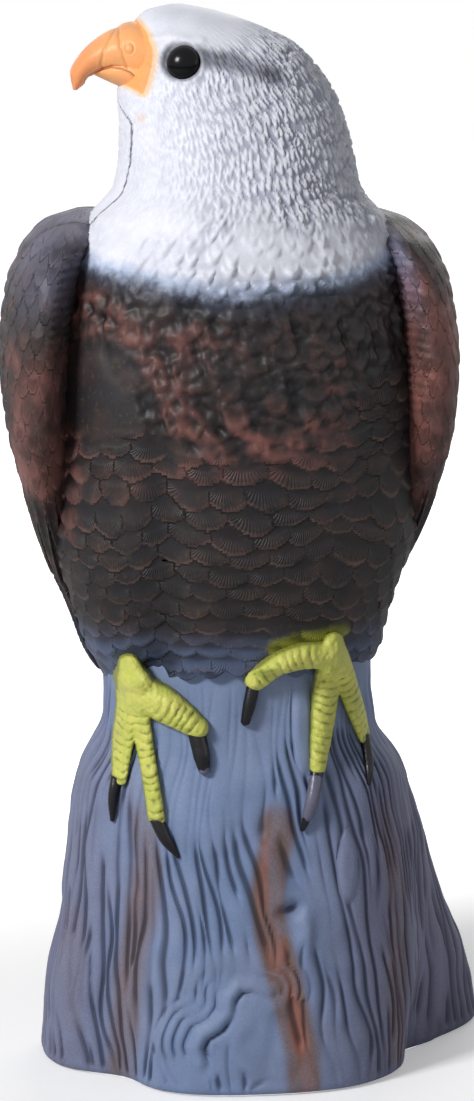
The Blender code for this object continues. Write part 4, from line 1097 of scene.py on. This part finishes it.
WALL = 2.5
SEAM_GAP = 0.3
FIT_GAP = 0.3
BARK_DEPTH, FEATHER_DEPTH = 2.4, 1.0    # how much deeper the hollow lies behind each
EYE_RADIUS = 6
EYE_SOCKET_DEPTH = 1.6
EYE_BOSS_DEPTH = 5.2
SHANK_RADIUS = 1.7
WASHER_RADIUS = 4.8
PLUG_Y = 29
STEM_RADIUS = 11
FLANGE_RADIUS = 14
RECESS_ROOF = 3.3
RIM_WALL = 2.5
BLOCK_REACH = 200.0             # half size of the block that parts the halves


def bare_finish(tree):
    """Unpainted moulding: even blue-grey with faint flow marks."""
    colour = tinted(ramp(noise(tree, 20, 3), 0.3, 0.7), "5d6b88", "66738f")
    coat = placed(tree, SPRAYED, Colour=colour, Hollow="3a4660", Rubbed="8793ad",
                  Relief=0.6, Depth=0.1, Wear=0.1, Sheen=0.5)
    return *coat, 0.08


BARE_PLASTIC = painted("bare_plastic", bare_finish)


def combine(target, others, operation):
    """Boolean of a target with other forms, which are used up."""
    tools = bpy.data.collections.new("tools")
    for other in others:
        tools.objects.link(other)
    cut = target.modifiers.new(operation, "BOOLEAN")
    cut.operation = operation
    cut.solver = "MANIFOLD"
    cut.operand_type = "COLLECTION"
    cut.collection = tools
    cut.material_mode = "TRANSFER"
    bpy.context.view_layer.update()
    graph = bpy.context.evaluated_depsgraph_get()
    made = bpy.data.meshes.new_from_object(target.evaluated_get(graph))
    target.modifiers.clear()
    target.data = made
    for other in others:
        bpy.data.objects.remove(other, do_unlink=True)
    bpy.data.collections.remove(tools)
    return target


def eye_frame(side):
    """Frame on the head's skin at an eye, its Z pointing out; side is -1 on the front half."""
    here = float(front_depth(EYE_X, EYE_Z))
    across = Vector((1, front_depth(EYE_X + 1, EYE_Z) - here, 0))
    upward = Vector((0, front_depth(EYE_X, EYE_Z + 1) - here, 1))
    normal = across.cross(upward).normalized()
    place = Vector((EYE_X, here, EYE_Z))
    if side > 0:
        place.y = 2 * HEAD_Y - place.y
        normal.y = -normal.y
    return Matrix.Translation(place) @ normal.to_track_quat("Z", "Y").to_matrix().to_4x4()


def turned(name, profile, frame_at, material, sides=48):
    """Piece turned round its frame's Z from (radius, z) steps."""
    steps = np.array(profile, float)
    row, angle = crossed(np.arange(len(steps)), np.linspace(0, 2 * np.pi, sides + 1))
    radius, z = steps[row, 0], steps[row, 1]
    local = joined(radius * np.cos(angle), radius * np.sin(angle), z)
    matrix = np.array(frame_at)
    return skin_object(name, local @ matrix[:3, :3].T + matrix[:3, 3], material)


def rod(name, radius, low, high, frame_at, sides=48):
    """Round tool that opens a hole or leaves a boss."""
    return turned(name, [(radius, low), (radius, high)], frame_at, BARE_PLASTIC, sides)


def front_block(gap):
    """Block in front of the parting line, less a gap."""
    heights = np.concatenate([[-50, 120], np.linspace(130, SEAM_TOP, 60), [450]])
    far = BLOCK_REACH
    height, x = crossed(heights, [-far, far, far, STEP_START, STEP_END, -far, -far])
    rows = joined(x, parting_y(x, height) - gap, height)
    rows[:, [0, 1, -1], 1] = -far
    return skin_object("parting", rows, BARE_PLASTIC)


def make_core():
    """The hollow inside, one wall in from the skin."""
    height, angle = ring_grid(48, np.concatenate([[WALL, 20], np.linspace(50, STUMP_TOP, 12)]))
    rings = stump_skin(np.maximum(height, BASE_EDGE_RADIUS), angle)
    rings[..., 2] = height
    core = skin_object("core", raised(rings, np.full(height.shape, -WALL - BARK_DEPTH)), BARE_PLASTIC)
    height, angle = ring_grid(48, np.linspace(HEM + WALL, CROWN - 4, 40))
    rings = raised(bird_skin(height, angle), np.full(height.shape, -WALL - FEATHER_DEPTH))
    return combine(core, [skin_object("core", rings, BARE_PLASTIC)], "UNION")


def per_item(items, field, kind=int, size=1):
    """Values that a mesh keeps for each of its faces, corners or edges."""
    values = np.empty(len(items) * size, kind)
    items.foreach_get(field, values)
    return values.reshape(-1, size) if size > 1 else values


def finish_shell(shell, node):
    """Smooth skin with crisp lines where two forms meet."""
    data = shell.data
    data.validate()
    data.shade_smooth()
    facing, middle = (per_item(data.polygons, field, float, 3)[:, 2] for field in ("normal", "center"))
    slots = per_item(data.polygons, "material_index")
    slots[(facing < -0.9) & (middle < 0.5 * MM)] = data.materials.find(BARE_PLASTIC.name)
    data.polygons.foreach_set("material_index", slots)
    form = per_item(data.attributes["form"].data, "value")
    edges = per_item(data.loops, "edge_index")
    faces = np.repeat(form, per_item(data.polygons, "loop_total"))
    low, high = np.full((2, len(data.edges)), [[len(FORMS) + 1], [-1]])
    np.minimum.at(low, edges, faces)
    np.maximum.at(high, edges, faces)
    data.attributes.new("sharp_edge", "BOOLEAN", "EDGE").data.foreach_set("value", low != high)
    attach(shell, "figure")
    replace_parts(shell, node)
    return shell


figure = combine(stump, [bird, tail] + wings + beak + feet, "UNION")
core = make_core()
plug_frame = Matrix.Translation((0, PLUG_Y, 0))
recess = FLANGE_RADIUS + FIT_GAP
solid = [rod("rim", recess + RIM_WALL, -5, RECESS_ROOF + WALL, plug_frame)]
opened = [rod("recess", recess, -5, RECESS_ROOF, plug_frame),
          rod("hole", STEM_RADIUS + FIT_GAP, -6, RECESS_ROOF + 2 * WALL, plug_frame)]
for side in (-1, 1):
    socket = eye_frame(side)
    solid.append(rod("boss", WASHER_RADIUS + FIT_GAP, -EYE_BOSS_DEPTH, 5, socket))
    opened.append(rod("socket", EYE_RADIUS + FIT_GAP, -EYE_SOCKET_DEPTH, 9, socket))
    opened.append(rod("shank_hole", SHANK_RADIUS + FIT_GAP, -2 * EYE_BOSS_DEPTH, 8, socket, 24))
combine(core, solid, "DIFFERENCE")
combine(core, opened, "UNION")
front = shown("front_moulding", figure.data.copy())
combine(front, [front_block(SEAM_GAP / 2)], "INTERSECT")
combine(front, [shown("front_hollow", core.data.copy())], "DIFFERENCE")
figure.name = "rear_moulding"
combine(figure, [front_block(-SEAM_GAP / 2)], "DIFFERENCE")
combine(figure, [core], "DIFFERENCE")
finish_shell(front, "front_shell")
finish_shell(figure, "rear_shell")

# ---- Eyes and their washers ---------------------------------------------------------------------
# Stock plastic eyes: a black glossy dome on a shank, pushed into a socket and held from the inside
# by a push-on washer of milky plastic, which is shown as its solid is.

EYE_BULGE = 3.6
WASHER_THICKNESS = 1.2
SHANK_END = 1.5


def stock_plastic(name, colours, cloud, sheen, patch, grain, depth, gloss=0.3):
    """Material of a bought piece; cloud, patch and grain are the size and detail of a noise each."""
    def finish(tree):
        colour = tinted(noise(tree, *cloud), *colours)
        return colour, noise(tree, *patch) * sheen[1] + sheen[0], noise(tree, *grain), depth
    return painted(name, finish, gloss)


def make_eye(side, name):
    """Dome, flat back and shank of an eye, turned in one."""
    back = -EYE_SOCKET_DEPTH + FIT_GAP
    end = -(EYE_BOSS_DEPTH + FIT_GAP + WASHER_THICKNESS + SHANK_END)
    profile = [(SHANK_RADIUS * 0.7, end), (SHANK_RADIUS, end + 0.5), (SHANK_RADIUS, back - 0.01),
               (SHANK_RADIUS + 0.3, back), (EYE_RADIUS - 0.3, back), (EYE_RADIUS, back + 0.2),
               (EYE_RADIUS, -0.05)]
    for turn in np.linspace(0, 0.985, 22) * math.pi / 2:
        profile.append((EYE_RADIUS * math.cos(turn), EYE_BULGE * math.sin(turn)))
    eye = turned(name, profile, eye_frame(side), EYE_GLOSS, 64)
    eye.data.shade_smooth()
    eye.data.set_sharp_from_angle(angle=math.radians(40))
    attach(eye, "figure")
    return eye


EYE_GLOSS = stock_plastic(
    "eye_gloss", ("050507", "0c0d12"), cloud=(9, 2), sheen=(0.14, 0.08), patch=(3, 3), grain=(4, 1),
    depth=0.01, gloss=0.15)
WASHER_PLASTIC = stock_plastic(
    "washer_plastic", ("d8d6cc", "e6e4dc"), cloud=(3, 2), sheen=(0.4, 0.1), patch=(2, 2), grain=(0.6, 2),
    depth=0.03)
for side, word in ((-1, "left"), (1, "right")):
    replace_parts(make_eye(side, word + "_eye_dome"), word + "_eye")

# ---- Ballast plug -------------------------------------------------------------------------------
# Push-in stopper of black soft plastic in the base, a flange on a hollow stem; it is shown as its
# solid is.

PLUG_PLASTIC = stock_plastic(
    "plug_plastic", ("1a1a1c", "252528"), cloud=(4, 3), sheen=(0.42, 0.15), patch=(5, 2), grain=(0.5, 2),
    depth=0.05)
dressed = {"left_eye_washer": WASHER_PLASTIC, "right_eye_washer": WASHER_PLASTIC, "fill_plug": PLUG_PLASTIC}
for node, material in dressed.items():
    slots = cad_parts[node].data.materials
    slots.clear()
    slots.append(material)

# ---- Studio -------------------------------------------------------------------------------------
# Pale floor, white surroundings and soft lamps; the camera stands where the photograph's did. The
# floor is open under the stump and clear from below, where a lamp of its own lights the base.

CAMERA_PLACE = (-0.11838, -1.12632, 0.39525)
CAMERA_TARGET = (0, 0, 0.19556)
FLOOR_RADIUS = 8.5
FLOOR_SIDES = 72
FLOOR_DROP = 0.0002
WHITE = (1, 1, 1, 1)


def floor_material():
    """Pale and matt, glowing to white away from the stump for the camera, and clear from below."""
    material, tree, inputs = new_material("studio_floor")
    below = Signal(wired(tree, "ShaderNodeNewGeometry", {}), "Backfacing")
    seen = Signal(wired(tree, "ShaderNodeLightPath", {}), "Is Camera Ray")
    away = Signal(wired(tree, "ShaderNodeVectorMath", {0: place_in(tree)}, operation="LENGTH"), "Value")
    feed_all(inputs, {
        "Base Color": tinted(noise(tree, 300), (0.82, 0.82, 0.83, 1), (0.84, 0.84, 0.85, 1)),
        "Roughness": 0.9, "Alpha": ramp(below, 1, 0), "Emission Color": WHITE,
        "Emission Strength": seen * (ramp(away, 0.1, 0.45) * 0.7 + 0.3)})
    return material


turn = np.linspace(0, 2 * np.pi, FLOOR_SIDES, endpoint=False)
opening = stump_skin(BASE_EDGE_RADIUS + 0 * turn, turn) * 0.95 * MM
outside = joined(np.cos(turn), np.sin(turn), 0) * FLOOR_RADIUS
spots = np.concatenate([opening, outside])
spots[:, 2] = -FLOOR_DROP
step, after = np.arange(FLOOR_SIDES), (np.arange(FLOOR_SIDES) + 1) % FLOOR_SIDES
floor_data = bpy.data.meshes.new("floor")
floor_faces = joined(step, FLOOR_SIDES + step, FLOOR_SIDES + after, after)
floor_data.from_pydata(spots, [], floor_faces.tolist())
floor_data.materials.append(floor_material())
floor = shown("floor", floor_data)


def aimed(thing, place, aim):
    """Lamp or camera at a place, facing a point."""
    thing.location = place
    thing.rotation_euler = (Vector(aim) - Vector(place)).to_track_quat("-Z", "Y").to_euler()
    return thing


def lamp(name, place, aim, size, power, colour):
    """Soft square lamp."""
    light = bpy.data.lights.new(name, "AREA")
    light.size, light.energy, light.color = size, power, colour
    aimed(shown(name, light), place, aim)


lamp("key", (-1.3, -0.95, 1.2), (0, 0, 0.22), 0.4, 29, (1, 1, 1))
lamp("fill", (1.4, -0.7, 0.7), (0, 0, 0.2), 0.5, 1.5, (0.92, 0.95, 1))
lamp("back", (0.6, 1.5, 1.2), (0, 0, 0.25), 1.0, 8, (1, 1, 1))
lamp("below", (-0.4, -0.8, -1.3), (0, 0, 0), 0.6, 14, (1, 1, 1))

world = bpy.data.worlds.new("studio_air")
world.use_nodes = True
bpy.context.scene.world = world
tree = world.node_tree
rays = wired(tree, "ShaderNodeLightPath", {})
seen = Signal(rays, "Is Glossy Ray").reckon("MAXIMUM", Signal(rays, "Is Transmission Ray"))
seen = Signal(rays, "Is Camera Ray").reckon("MAXIMUM", seen)
feed(tree.nodes["Background"].inputs["Color"], WHITE)
feed(tree.nodes["Background"].inputs["Strength"], seen * 0.86 + 0.14)

camera = bpy.data.cameras.new("camera")
camera.sensor_fit = "VERTICAL"
camera.sensor_height = 36
camera.lens = 99.1
bpy.context.scene.camera = aimed(shown("camera", camera), CAMERA_PLACE, CAMERA_TARGET)
bpy.context.scene.view_settings.view_transform = "Standard"
